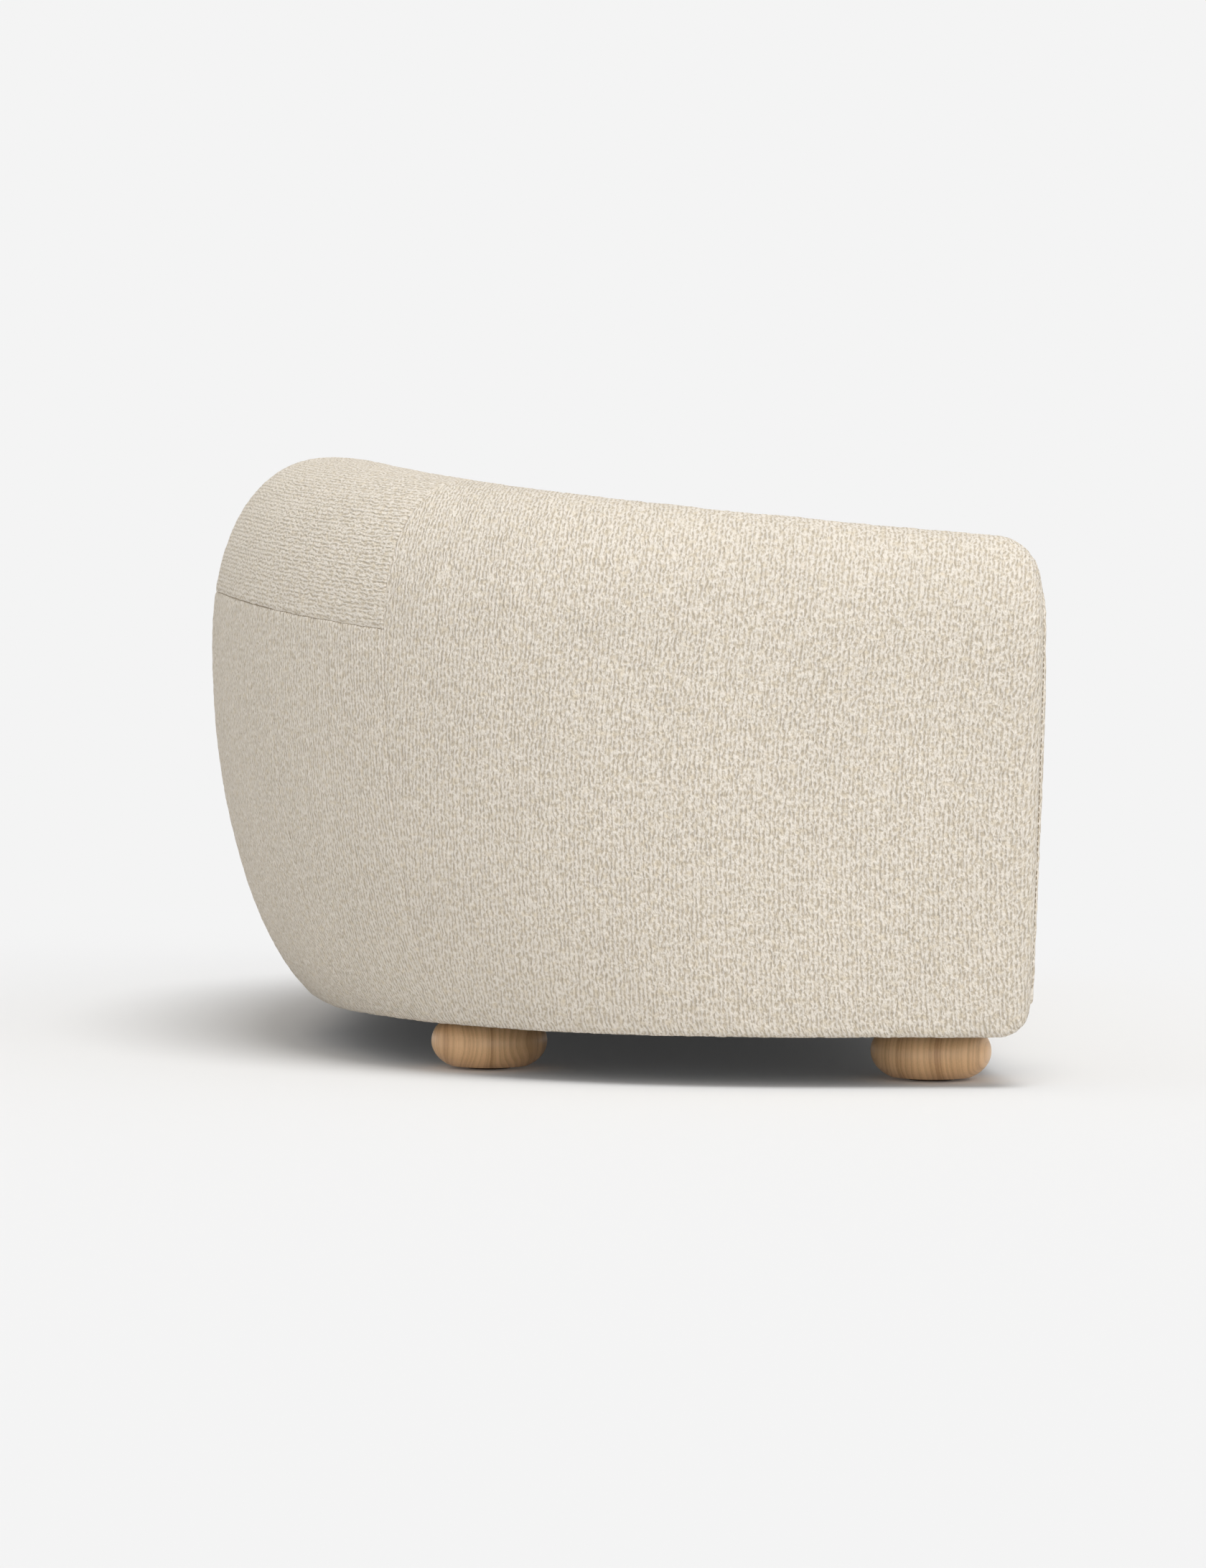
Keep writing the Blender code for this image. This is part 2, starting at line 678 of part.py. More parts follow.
def rib_outline(along):
    """From the base plate up behind the cover, across under the rail, and down to the deck."""
    behind = inset(profile(along), foam_depth(along) + FRAME_GAP)
    top = top_rail_low(along) - FRAME_GAP / 2
    ledge = RAIL_TOP + WEB_THICKNESS + FRAME_GAP
    outer = at(behind, np.append(back_lower_spots(along), band_spots(along)[1:5]))
    inner = at(behind, INNER_SPOTS)
    outer_run = clipped(outer, RAIL_LOW, top)
    inner_run = clipped(inner[::-1], ledge + PLY, top)[::-1]
    leg = max(rail_face(place(along)[2]) + FRAME_GAP / 2, inner_run[-1, 0])
    foot = np.array([(leg, ledge), (leg, RAIL_LOW)])
    return np.concatenate([outer_run, inner_run, foot])


def clipped(line, low, high):
    """The part of a rising line of points between two heights, cut square at both."""
    kept = line[(line[:, 1] > low + LAYER_GAP) & (line[:, 1] < high - LAYER_GAP)]
    ends = [(np.interp(z, line[:, 1], line[:, 0]), z) for z in (low, high)]
    return np.concatenate([ends[:1], kept, ends[1:]])


def make_arm_frames():
    """A bent plywood panel, a top rail and a front post in each arm."""
    spots = np.concatenate([np.linspace(0, 1, 6), np.linspace(1, 3, 13)[1:], [4, 5]])
    for side, along in (("left", POST_FRONT), ("right", LENGTH - POST_FRONT)):
        outline = to_world(along, at(inset(profile(along), DEEP), spots))
        outline[:, 2] = np.maximum(outline[:, 2], UNDERSIDE_HEIGHT + BOTTOM_CORNER + DEEP)
        back = outline + np.array([0, PLY, 0])
        loft("arm_post_" + side, [outline, back], PLYWOOD, smooth=False)

    def panel_outer(_):
        return -PANEL_INSET

    def panel_inner(_):
        return -PANEL_INSET - PANEL_THICKNESS

    def panel_top(along):
        return top_rail_low(along) - TOUCH - corner_drop(TOP_CORNER, along)

    def rail_outer(share):
        return crest_offset(share) + TOP_RAIL_WIDTH / 2

    def rail_inner(share):
        return crest_offset(share) - TOP_RAIL_WIDTH / 2

    rib = PLY / 2 + FRAME_GAP
    post_back = POST_FRONT + PLY + LAYER_GAP
    for side, alongs in side_ranges(post_back, SIDE_SEAM - rib):
        low = constant(RAIL_LOW)
        board("arm_panel_" + side, alongs, panel_outer, panel_inner, low, panel_top, PLYWOOD)
    for side, alongs in side_ranges(TOP_CORNER, SIDE_SEAM - rib):
        args = (alongs, rail_outer, rail_inner, top_rail_low, top_rail_top, SOFTWOOD)
        board("arm_top_rail_" + side, *args)
    whole = between(SIDE_SEAM - PLY / 2, LENGTH - SIDE_SEAM + PLY / 2)
    board("back_top_rail", whole, rail_outer, rail_inner, top_rail_low, top_rail_top, SOFTWOOD)


def inner_outline(extra, front):
    """The seat's plan inside the inner faces at the deck, less a margin, from left to right."""
    points = []
    for along in STATIONS:
        point, normal, share = place(along)
        points.append(point - normal * (blend(DECK_INSET, share) + extra))
    points = np.array(points)
    return with_front(points, front)


def with_front(points, front):
    """A run of points closed off straight at its front."""
    kept = points[points[:, 1] > front + 2 * LAYER_GAP]
    ends = np.array([[kept[0, 0], front], [kept[-1, 0], front]])
    return np.concatenate([ends[:1], kept, ends[1:]])


def make_deck():
    top = DECK_HEIGHT - CLOTH
    pad_front = FRONT_Y + APRON_SETBACK + FABRIC + 2 * LAYER_GAP
    margin = FABRIC
    front_step = APRON_TOP_RUN + APRON_SETBACK + LAYER_GAP
    cloth = inner_outline(margin, FRONT_Y + front_step)
    prism("deck_cloth", cloth, top, DECK_HEIGHT, LINING)
    pad = inner_outline(margin, pad_front + APRON_ROUNDING)
    low = TUCK_HEIGHT
    prism("deck_pad", pad, low, DECK_HEIGHT - FABRIC - LAYER_GAP, FOAM)


def make_webbing():
    """Straps front to back and side to side over the rails, stapled where they cross."""
    margin = RAIL_INSET[0] - DECK_INSET[0] + 2 * LAYER_GAP
    front = FRONT_RAIL_Y + LAYER_GAP
    outline = inner_outline(margin, front)
    half = HALF_WIDTH - RAIL_INSET[0] - RAIL_THICKNESS
    pitch = 2 * half / LONG_STRAPS
    long_edges = []
    for k in range(LONG_STRAPS):
        middle = -half + pitch * (k + 0.5)
        long_edges.append((middle - WEB_WIDTH / 2, middle + WEB_WIDTH / 2))
    reach = np.interp(long_edges[0][0], outline[:, 0], outline[:, 1])
    cross_pitch = (reach - front) / (CROSS_STRAPS + 0.6)
    cross_edges = []
    for k in range(CROSS_STRAPS):
        middle = front + cross_pitch * (k + 0.8)
        cross_edges.append((middle - WEB_WIDTH / 2, middle + WEB_WIDTH / 2))

    def far_end(x):
        return float(np.interp(x, outline[:, 0], outline[:, 1]))

    def side_end(y):
        left = outline[: len(outline) // 2]
        return float(np.interp(y, left[:, 1], left[:, 0]))

    quads = []
    for x0, x1 in long_edges:
        stops = [front] + [y for pair in cross_edges for y in pair]
        for y0, y1 in zip(stops, stops[1:]):
            quads.append([(x0, y0), (x1, y0), (x1, y1), (x0, y1)])
        y0 = stops[-1]
        quads.append([(x0, y0), (x1, y0), (x1, far_end(x1)), (x0, far_end(x0))])
    for y0, y1 in cross_edges:
        for (_, x0), (x1, _) in zip(long_edges, long_edges[1:]):
            quads.append([(x0, y0), (x1, y0), (x1, y1), (x0, y1)])
        x0, x1 = long_edges[0][0], long_edges[-1][1]
        quads.append([(side_end(y0), y0), (x0, y0), (x0, y1), (side_end(y1), y1)])
        quads.append([(x1, y0), (-side_end(y0), y0), (-side_end(y1), y1), (x1, y1)])
    mesh = bmesh.new()
    corners = {}
    for quad in quads:
        for x, y in quad:
            key = (round(x, 6), round(y, 6))
            if key not in corners:
                corners[key] = mesh.verts.new((x, y, WEB_LOW))
        mesh.faces.new([corners[(round(x, 6), round(y, 6))] for x, y in quad])
    grown = bmesh.ops.extrude_face_region(mesh, geom=mesh.faces[:], use_keep_orig=True)
    moved = [item for item in grown["geom"] if isinstance(item, bmesh.types.BMVert)]
    bmesh.ops.translate(mesh, verts=moved, vec=(0, 0, WEB_THICKNESS))
    mesh.verts.index_update()
    points = [tuple(v.co) for v in mesh.verts]
    faces = [tuple(v.index for v in face.verts) for face in mesh.faces]
    mesh.free()
    add_object("seat_webbing", points, faces, WEBBING)


def make_dust_cover(cutters):
    points = []
    for along in STATIONS:
        point, normal, _ = place(along)
        points.append(point - normal * BASE_INSET)
    front = FRONT_Y + DUST_COVER_FRONT
    outline = with_front(np.array(points), front)
    low = UNDERSIDE_HEIGHT + LAYER_GAP
    cover = prism("dust_cover", outline, low, low + CLOTH, DUST_CLOTH)
    cut(cover, cutters)


# ---------------------------------------------------------------- feet


def bun_outline(bottom, top):
    """(radius, height) down the outside of the bun, from its top face to its bottom face."""
    middle = FOOT_HALF_HEIGHT
    core = FOOT_RADIUS - FOOT_ROUND
    high = math.asin(min((top - middle) / FOOT_HALF_HEIGHT, 1))
    low = math.asin(max((bottom - middle) / FOOT_HALF_HEIGHT, -1))
    turns = np.linspace(high, low, 9)
    points = [(core + FOOT_ROUND * math.cos(t), middle + FOOT_HALF_HEIGHT * math.sin(t)) for t in turns]
    points[0] = (points[0][0], top)
    points[-1] = (points[-1][0], bottom)
    return points


def make_feet():
    top = UNDERSIDE_HEIGHT - TOUCH
    bottom = GLIDE_THICKNESS + TOUCH
    bore = BOLT_RADIUS + BOLT_CLEARANCE
    bore_end = UNDERSIDE_HEIGHT - BOLT_DEPTH - TOUCH
    for name, centre in foot_places().items():
        outline = [(0, bore_end), (bore, bore_end), (bore, top)]
        outline += bun_outline(bottom, top) + [(0, bottom)]
        turned("foot_" + name, outline, centre, TURNED_WOOD)
        low = bore_end + TOUCH
        rod = [(0, low), (BOLT_RADIUS, low), (BOLT_RADIUS, PLATE_TOP), (0, PLATE_TOP)]
        turned("hanger_bolt_" + name, rod, centre, STEEL, segments=12)
        make_glide(name, centre, GLIDE_RADIUS)


def make_glide(name, centre, radius):
    pad = [(0, 0), (radius, 0), (radius, GLIDE_THICKNESS), (0, GLIDE_THICKNESS)]
    turned("glide_" + name, pad, centre, FELT, segments=20)


def center_leg_place():
    return np.array([0.0, (FRONT_RAIL_Y + BACK_Y - RAIL_INSET[1]) / 2])


def make_center_leg():
    centre = center_leg_place()
    low, high = GLIDE_THICKNESS + TOUCH, RAIL_LOW - TOUCH
    slim = LEG_RADIUS * 0.85
    outline = [(0, high), (LEG_RADIUS, high), (LEG_RADIUS, high - PLY), (slim, low), (0, low)]
    turned("center_leg", outline, centre, TURNED_WOOD, segments=20)
    make_glide("center", centre, slim - 0.002)
    gap = LEG_RADIUS + LAYER_GAP
    hole = [(0, low), (gap, low), (gap, high), (0, high)]
    return turned("center_leg_hole", hole, centre, STEEL, segments=20)


# ---------------------------------------------------------------- seat cushions


def arc(centre, radius, start, end, steps=4):
    turns = np.linspace(math.radians(start), math.radians(end), steps)
    return [(centre[0] + radius * math.cos(t), centre[1] + radius * math.sin(t)) for t in turns]


def cushion_outline(side):
    """A cushion's plan, counter-clockwise. The left one is the right one mirrored."""
    front = FRONT_Y + APRON_SETBACK + CUSHION_SETBACK
    inner = CUSHION_CENTRE_GAP / 2
    wall = inner_outline(CUSHION_GAP, front)
    wall = wall[wall[:, 0] > 0][::-1]
    radius = CUSHION_CORNER
    outer = wall[0, 0]
    points = arc((inner + radius, front + radius), radius, 180, 270)
    points += arc((outer - radius, front + radius), radius, 270, 360)
    clear = 1.5 * radius
    kept = wall[(wall[:, 1] > front + clear) & (wall[:, 0] > inner + clear)]
    points += [tuple(point) for point in kept]
    rear = wall[np.argmin(wall[:, 0]), 1]
    points += arc((inner + radius, rear - radius), radius, 90, 180)
    outline = np.array(points)
    return outline if side == "right" else outline[::-1] * np.array([-1, 1])


def inward(outline, depth):
    """A convex outline moved inwards by depth, with mitred corners."""
    ahead = np.roll(outline, -1, 0) - outline
    ahead /= np.linalg.norm(ahead, axis=1)[:, None]
    normal = np.stack([-ahead[:, 1], ahead[:, 0]], 1)
    joined = normal + np.roll(normal, 1, 0)
    joined /= (1 + (normal * np.roll(normal, 1, 0)).sum(1))[:, None]
    return outline + joined * depth


def cushion_rings(side, depth):
    """Rings of a soft block: rounded edges and a crowned top."""
    outline = inward(cushion_outline(side), depth)
    low = DECK_HEIGHT + LAYER_GAP + depth
    high = SEAT_HEIGHT - depth
    edge = CUSHION_EDGE - depth
    shoulder = high - CUSHION_CROWN
    turns = np.radians([0, 45, 90])
    levels = [(edge * (1 - math.sin(t)), low + edge * (1 - math.cos(t))) for t in turns]
    levels += [(edge * (1 - math.cos(t)), shoulder - edge * (1 - math.sin(t))) for t in turns]
    rings = []
    for margin, height in levels:
        ring = inward(outline, margin)
        rings.append(np.column_stack([ring, np.full(len(ring), height)]))
    middle = rings[-1].mean(0)
    for share, rise in ((0.80, 0.65), (0.45, 1.0)):
        ring = middle + (rings[len(levels) - 1] - middle) * share
        ring[:, 2] = shoulder + CUSHION_CROWN * rise
        rings.append(ring)
    return rings


def zip_line(side, depth, ease):
    """Points along the rear of a cushion's side wall, where its zip runs."""
    outline = cushion_outline(side)
    across = np.abs(outline[:, 0])
    chosen = (across > ZIP_START) & (across < ZIP_END) & (outline[:, 1] > CURVE_Y)
    line = inward(outline, depth)[chosen]
    start = line[0] - line[1]
    end = line[-1] - line[-2]
    line[0] += start / np.linalg.norm(start) * ease
    line[-1] += end / np.linalg.norm(end) * ease
    return line


def zip_slab(name, side, outer, inner, half, ease, look):
    middle = (DECK_HEIGHT + SEAT_HEIGHT) / 2
    near, far = zip_line(side, outer, ease), zip_line(side, inner, ease)
    rings = []
    for a, b in zip(near, far):
        corners = [(*a, middle - half), (*a, middle + half), (*b, middle + half), (*b, middle - half)]
        rings.append(np.array(corners))
    return loft(name, rings, look, smooth=False)


def make_cushions():
    for side in ("left", "right"):
        cover = loft("cushion_cover_" + side, cushion_rings(side, 0), BOUCLE)
        hollow = loft("cushion_hollow_" + side, cushion_rings(side, FABRIC), LINING)
        half = ZIP_HEIGHT / 2
        slit = zip_slab("zip_slit_" + side, side, -FABRIC, 2 * FABRIC, half, 0, LINING)
        cut(cover, [hollow, slit])
        loft("cushion_foam_" + side, cushion_rings(side, FABRIC + LAYER_GAP), FOAM)
        zip_slab("cushion_zip_" + side, side, TOUCH, ZIP_TAPE, half - TOUCH, -2 * TOUCH, ZIP)


def centre_on_plan():
    """Moves every object so that the box round the sofa has its middle on the origin in Y."""
    bpy.context.view_layer.update()
    things = [thing for thing in bpy.data.objects if not thing.hide_render]
    y = [corner[1] for thing in things for corner in thing.bound_box]
    middle = (min(y) + max(y)) / 2
    for thing in bpy.data.objects:
        thing.location.y = -middle


def main():
    clear_scene()
    make_arm_covers()
    make_back_covers()
    make_foams()
    make_arm_facings()
    make_apron()
    plate_cutters = {n: bolt_cutter(n, c) for n, c in foot_places().items()}
    make_base_plates(plate_cutters)
    make_seat_rails()
    make_ribs()
    make_arm_frames()
    make_deck()
    make_webbing()
    make_feet()
    leg_hole = make_center_leg()
    make_dust_cover([*plate_cutters.values(), leg_hole])
    make_cushions()
    centre_on_plan()


main()
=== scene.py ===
"""Looks for a curved boucle sofa on turned wooden feet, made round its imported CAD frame.

Metres, +Z up, in the frame's own axes: the sofa faces -Y and left is -X. The upholstered
wall is one upright profile carried along the plan's outer bottom edge, from the front of
the left arm round the back to the right arm. Each cover is a finely gridded piece of that
wall, rolled into its seams.
"""

import math

import bmesh
import bpy
import numpy as np
from bpy.props import FloatProperty, FloatVectorProperty, IntProperty, PointerProperty
from mathutils.bvhtree import BVHTree
from mathutils.kdtree import KDTree
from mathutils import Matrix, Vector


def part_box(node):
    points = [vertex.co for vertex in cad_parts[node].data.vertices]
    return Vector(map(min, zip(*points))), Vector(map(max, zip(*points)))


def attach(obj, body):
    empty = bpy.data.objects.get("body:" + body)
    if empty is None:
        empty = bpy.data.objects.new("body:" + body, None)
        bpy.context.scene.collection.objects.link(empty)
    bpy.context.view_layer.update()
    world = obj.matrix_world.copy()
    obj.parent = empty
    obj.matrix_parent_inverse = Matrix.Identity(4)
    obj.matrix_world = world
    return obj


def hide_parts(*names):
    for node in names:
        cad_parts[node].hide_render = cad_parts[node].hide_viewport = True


bl_info = {
    "name": "Curved Boucle Sofa Looks",
    "version": (1, 0, 0),
    "blender": (4, 5, 0),
    "location": "View3D > Sidebar > Sofa",
    "description": "Makes the upholstery, feet, finishes and studio of a curved boucle sofa",
    "category": "Object",
}

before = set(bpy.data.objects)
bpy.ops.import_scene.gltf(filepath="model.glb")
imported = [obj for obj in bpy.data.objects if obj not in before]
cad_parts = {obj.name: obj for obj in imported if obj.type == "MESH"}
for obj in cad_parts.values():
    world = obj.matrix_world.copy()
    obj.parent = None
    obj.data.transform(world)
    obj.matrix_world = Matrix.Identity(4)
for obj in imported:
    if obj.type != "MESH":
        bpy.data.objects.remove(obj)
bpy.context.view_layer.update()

# Overall sizes of the sofa
OVERALL_WIDTH = 2.24
OVERALL_DEPTH = 1.088
BACK_HEIGHT = 0.815
ARM_HEIGHT = 0.6445
UNDERSIDE_HEIGHT = 0.060
DECK_HEIGHT = 0.2535
SEAT_HEIGHT = 0.435

# Plan of the outer bottom edge
ARM_STRAIGHT = 0.20
PLAN_POWER_X = 2.40
PLAN_POWER_Y = 2.38

# Upright profile, as (arm, middle of the back) pairs
BULGE = (0.021, 0.1415)
WIDEST_HEIGHT = (0.448, 0.551)
OUTER_TOP_WIDTH = (0.085, 0.164)
INNER_TOP_WIDTH = (0.098, 0.150)
INNER_TOP_DROP = (0.120, 0.130)
DECK_INSET = (0.163, 0.250)
ARM_TOP_DROP = 0.150
BULGE_POWER = 1.39
LOWER_CURVE = 0.938
TOP_POWER = 2.22
RIDGE_SLOPE = 0.83
RIDGE_RUN = 0.874
RIDGE_POWER = 1.235  # above 1, the rise comes late and steep, at the corner

# Front of the arms
FACING_CROWN = 0.0075
FRONT_RAKE = 0.019
TOP_CORNER = 0.050
BOTTOM_CORNER = 0.038
SIDE_CORNER = 0.018

# Seams, from the front along the bottom edge, down from the top line, or on the profile's scale
SIDE_SEAM = 0.745
BACK_SEAM = 0.974
BAND_DROP = 0.187
TOP_JOIN = 2.344

# Layers
FABRIC = 0.003
ARM_FOAM = 0.024
BACK_FOAM = 0.060
FOAM_START_SHARE = 0.12
FOAM_DEPTH = 0.009  # clear of where the covers roll into their seams
TUCK = 0.005
RETURN = 0.032
APRON_SETBACK = 0.006
APRON_ROUNDING = 0.022
APRON_TOP_RUN = 0.090

# Webbing
RAIL_INSET = 0.115
RAIL_THICKNESS = 0.025
WEB_WIDTH = 0.060
LONG_STRAPS = 8
CROSS_STRAPS = 3

# Seat cushions
CUSHION_GAP = 0.006
CUSHION_CENTRE_GAP = 0.004
CUSHION_SETBACK = 0.006
CUSHION_CORNER = 0.035
CUSHION_MARGIN = 0.009  # the cloth starts this far inside its outline, and the filling swells it out
CUSHION_LIFT = 0.004  # and this far above its lowest place
EDGE_INSET = 0.018
EDGE_DROP = 0.012
TOP_SEAM_DROP = 0.006
LOW_SEAM_RISE = 0.005
FOAM_MARGIN = 0.026
THREAD_INSET = 0.0030
ZIP_START = 0.10
ZIP_END = 0.62
ZIP_PITCH = 0.0012
ZIP_HALF_WIDTH = 0.0046
ZIP_STAND_OFF = 0.0011

# Feet
FOOT_RADIUS = 0.0727
FOOT_HALF_HEIGHT = 0.0346
FOOT_ROUND = 0.0432
BOLT_RADIUS = 0.0047

# Names for places on the profile's scale, and the profile's points between two of them
FOOT_LINE, TOP_START, RIDGE, SHOULDER, DECK_LINE, INNER_FOOT = range(6)
STEPS = 48

# How finely the covers are gridded
FINE_STEP = 0.0040
INNER_STEP = 0.0050
ROLL_SPOTS = np.array([0, 0.0006, 0.0015, 0.0028, 0.0045, 0.0068])
CLOTH_MAP = "cloth"


def linear(code):
    """An sRGB hex colour as linear red, green and blue."""
    shares = [int(code[k : k + 2], 16) / 255 for k in (1, 3, 5)]
    return tuple(s / 12.92 if s <= 0.04045 else ((s + 0.055) / 1.055) ** 2.4 for s in shares)


# ---------------------------------------------------------------- settings


class SofaBoucle(bpy.types.PropertyGroup):
    """The boucle cloth of the covers and cushions."""

    light: FloatVectorProperty(
        name="Loop colour",
        description="Colour of the yarn loops that stand up",
        subtype="COLOR",
        min=0,
        max=1,
        default=linear("#E6DED2"),
    )
    # Ground yarn colour, which also paints shade into the hollows between the loops.
    ground_and_hollow_shade: FloatVectorProperty(
        name="Ground and hollow shade colour",
        description="Colour between the loops",
        subtype="COLOR",
        min=0,
        max=1,
        default=linear("#C2B6A3"),
    )
    fleck: FloatVectorProperty(
        name="Fleck colour",
        description="Colour of the warmer yarns in the mix",
        subtype="COLOR",
        min=0,
        max=1,
        default=linear("#DCD0BB"),
    )
    rib: FloatProperty(
        name="Rib spacing",
        description="Distance from one rib of loops to the next",
        unit="LENGTH",
        min=0.002,
        max=0.02,
        default=0.0056,
    )
    loop: FloatProperty(
        name="Loop length",
        description="Usual length of a loop along its rib",
        unit="LENGTH",
        min=0.002,
        max=0.03,
        default=0.0105,
    )
    pile: FloatProperty(
        name="Pile height",
        description="Height of the loops above the ground",
        unit="LENGTH",
        min=0,
        max=0.005,
        default=0.0030,
    )


class SofaSeams(bpy.types.PropertyGroup):
    """How the covers are sewn together."""

    width: FloatProperty(
        name="Seam roll",
        description="How far from a seam the cover starts to roll in",
        unit="LENGTH",
        min=0.001,
        max=0.02,
        default=0.0065,
    )
    depth: FloatProperty(
        name="Seam depth",
        description="How deep the cover rolls in at a seam",
        unit="LENGTH",
        min=0,
        max=0.01,
        default=0.0020,
    )
    soft_depth: FloatProperty(
        name="Soft seam depth",
        description="The same, for the upright seams at the sofa's sides",
        unit="LENGTH",
        min=0,
        max=0.01,
        default=0.0011,
    )
    pucker: FloatProperty(
        name="Pucker",
        description="How far the stitches draw the cover in along a seam",
        unit="LENGTH",
        min=0,
        max=0.004,
        default=0.0008,
    )
    stitch: FloatProperty(
        name="Stitch length",
        description="Length of one stitch",
        unit="LENGTH",
        min=0.002,
        max=0.02,
        default=0.0045,
    )
    thread: FloatVectorProperty(
        name="Thread colour",
        description="Colour of the sewing thread",
        subtype="COLOR",
        min=0,
        max=1,
        default=linear("#A8977C"),
    )


class SofaCushions(bpy.types.PropertyGroup):
    """How the seat cushions are filled."""

    pressure: FloatProperty(
        name="Filling pressure",
        description="How hard the filling pushes the cover out",
        min=0,
        max=20,
        default=4.0,
    )
    swell: FloatProperty(
        name="Most swell",
        description="The furthest that the filling may move the cover",
        unit="LENGTH",
        min=0.002,
        max=0.04,
        default=0.024,
    )
    voxel: FloatProperty(
        name="Cloth grid",
        description="Size of the cloth's squares while it is simulated",
        unit="LENGTH",
        min=0.006,
        max=0.03,
        default=0.0105,
    )
    steps: IntProperty(
        name="Steps",
        description="Frames of simulation",
        min=5,
        max=60,
        default=20,
    )


class SofaWood(bpy.types.PropertyGroup):
    """The wood of the feet."""

    light: FloatVectorProperty(
        name="Light wood",
        description="Colour of the wood between the growth rings",
        subtype="COLOR",
        min=0,
        max=1,
        default=linear("#E6BC8C"),
    )
    dark: FloatVectorProperty(
        name="Dark wood",
        description="Colour of the growth rings and the darker heartwood",
        subtype="COLOR",
        min=0,
        max=1,
        default=linear("#85552F"),
    )
    ring: FloatProperty(
        name="Ring spacing",
        description="Usual distance between two growth rings",
        unit="LENGTH",
        min=0.001,
        max=0.03,
        default=0.0065,
    )


class SofaStage(bpy.types.PropertyGroup):
    """The floor, the light and the camera's place."""

    floor: FloatVectorProperty(
        name="Floor colour",
        description="Colour of the pale paper floor",
        subtype="COLOR",
        min=0,
        max=1,
        default=(0.765, 0.765, 0.765),
    )
    backdrop: FloatVectorProperty(
        name="Backdrop colour",
        description="Colour of what is seen behind the sofa",
        subtype="COLOR",
        min=0,
        max=1,
        default=linear("#F4F4F4"),
    )
    ambient: FloatProperty(
        name="Room light",
        description="Strength of the light from all round",
        min=0,
        max=5,
        default=0.60,
    )
    key: FloatProperty(
        name="Main light",
        description="Strength of the broad main light",
        min=0,
        max=20,
        default=1.66,
    )
    fill: FloatProperty(
        name="Low light",
        description="Strength of the weak light from low on the left",
        min=0,
        max=20,
        default=0.85,
    )
    distance: FloatProperty(
        name="Camera distance",
        description="From the sofa's left side to the camera",
        unit="LENGTH",
        min=1,
        max=20,
        default=3.8,
    )
    height: FloatProperty(
        name="Camera height",
        description="Height of the camera above the floor",
        unit="LENGTH",
        min=0.05,
        max=5,
        default=0.356,
    )


# ---------------------------------------------------------------- the wall


def blend(pair, share):
    return pair[0] + (pair[1] - pair[0]) * share


HALF_WIDTH = OVERALL_WIDTH / 2 - BULGE[0]
FRONT_Y = -OVERALL_DEPTH / 2 + FACING_CROWN + FRONT_RAKE
CURVE_Y = FRONT_Y + ARM_STRAIGHT
BACK_Y = OVERALL_DEPTH / 2 - BULGE[1]
CURVE_DEPTH = BACK_Y - CURVE_Y
TO_FRAME_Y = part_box("front_apron_cover")[0].y - (FRONT_Y + APRON_SETBACK)


def plan_edge():
    """The left half of the outer bottom edge, as points and their distance from the front."""
    turn = np.linspace(0, math.pi / 2, 1500)
    x = -HALF_WIDTH * np.cos(turn) ** (2 / PLAN_POWER_X)
    y = CURVE_Y + CURVE_DEPTH * np.sin(turn) ** (2 / PLAN_POWER_Y)
    x = np.append(-HALF_WIDTH, x)
    y = np.append(FRONT_Y, y)
    along = np.append(0, np.cumsum(np.hypot(np.diff(x), np.diff(y))))
    return x, y, along


EDGE_X, EDGE_Y, EDGE_ALONG = plan_edge()
HALF_LENGTH = EDGE_ALONG[-1]
LENGTH = 2 * HALF_LENGTH


def place(along):
    """A point on the bottom edge, its outward normal, and how much it belongs to the back."""
    near = min(along, LENGTH - along)
    x = np.interp(near, EDGE_ALONG, EDGE_X)
    y = np.interp(near, EDGE_ALONG, EDGE_Y)
    out_x = -PLAN_POWER_X * (abs(x) / HALF_WIDTH) ** (PLAN_POWER_X - 1) / HALF_WIDTH
    rise = max(y - CURVE_Y, 0) / CURVE_DEPTH
    out_y = PLAN_POWER_Y * rise ** (PLAN_POWER_Y - 1) / CURVE_DEPTH
    normal = np.array([out_x, out_y]) / math.hypot(out_x, out_y)
    point = np.array([x, y])
    if along > HALF_LENGTH:
        point[0] *= -1
        normal[0] *= -1
    return point, normal, normal[1]


def ridge_height(along):
    x = min(min(along, LENGTH - along) / (RIDGE_RUN * HALF_LENGTH), 1)
    late = x**RIDGE_POWER
    rise = RIDGE_SLOPE * (x**3 - 2 * x**2 + x) + 3 * late**2 - 2 * late**3
    return ARM_HEIGHT + (BACK_HEIGHT - ARM_HEIGHT) * rise


def corner_drop(radius, along):
    """How far a quarter round of this radius has dropped at this distance from the front."""
    left = max(radius - min(along, LENGTH - along), 0)
    return radius - math.sqrt(max(radius**2 - left**2, 0))


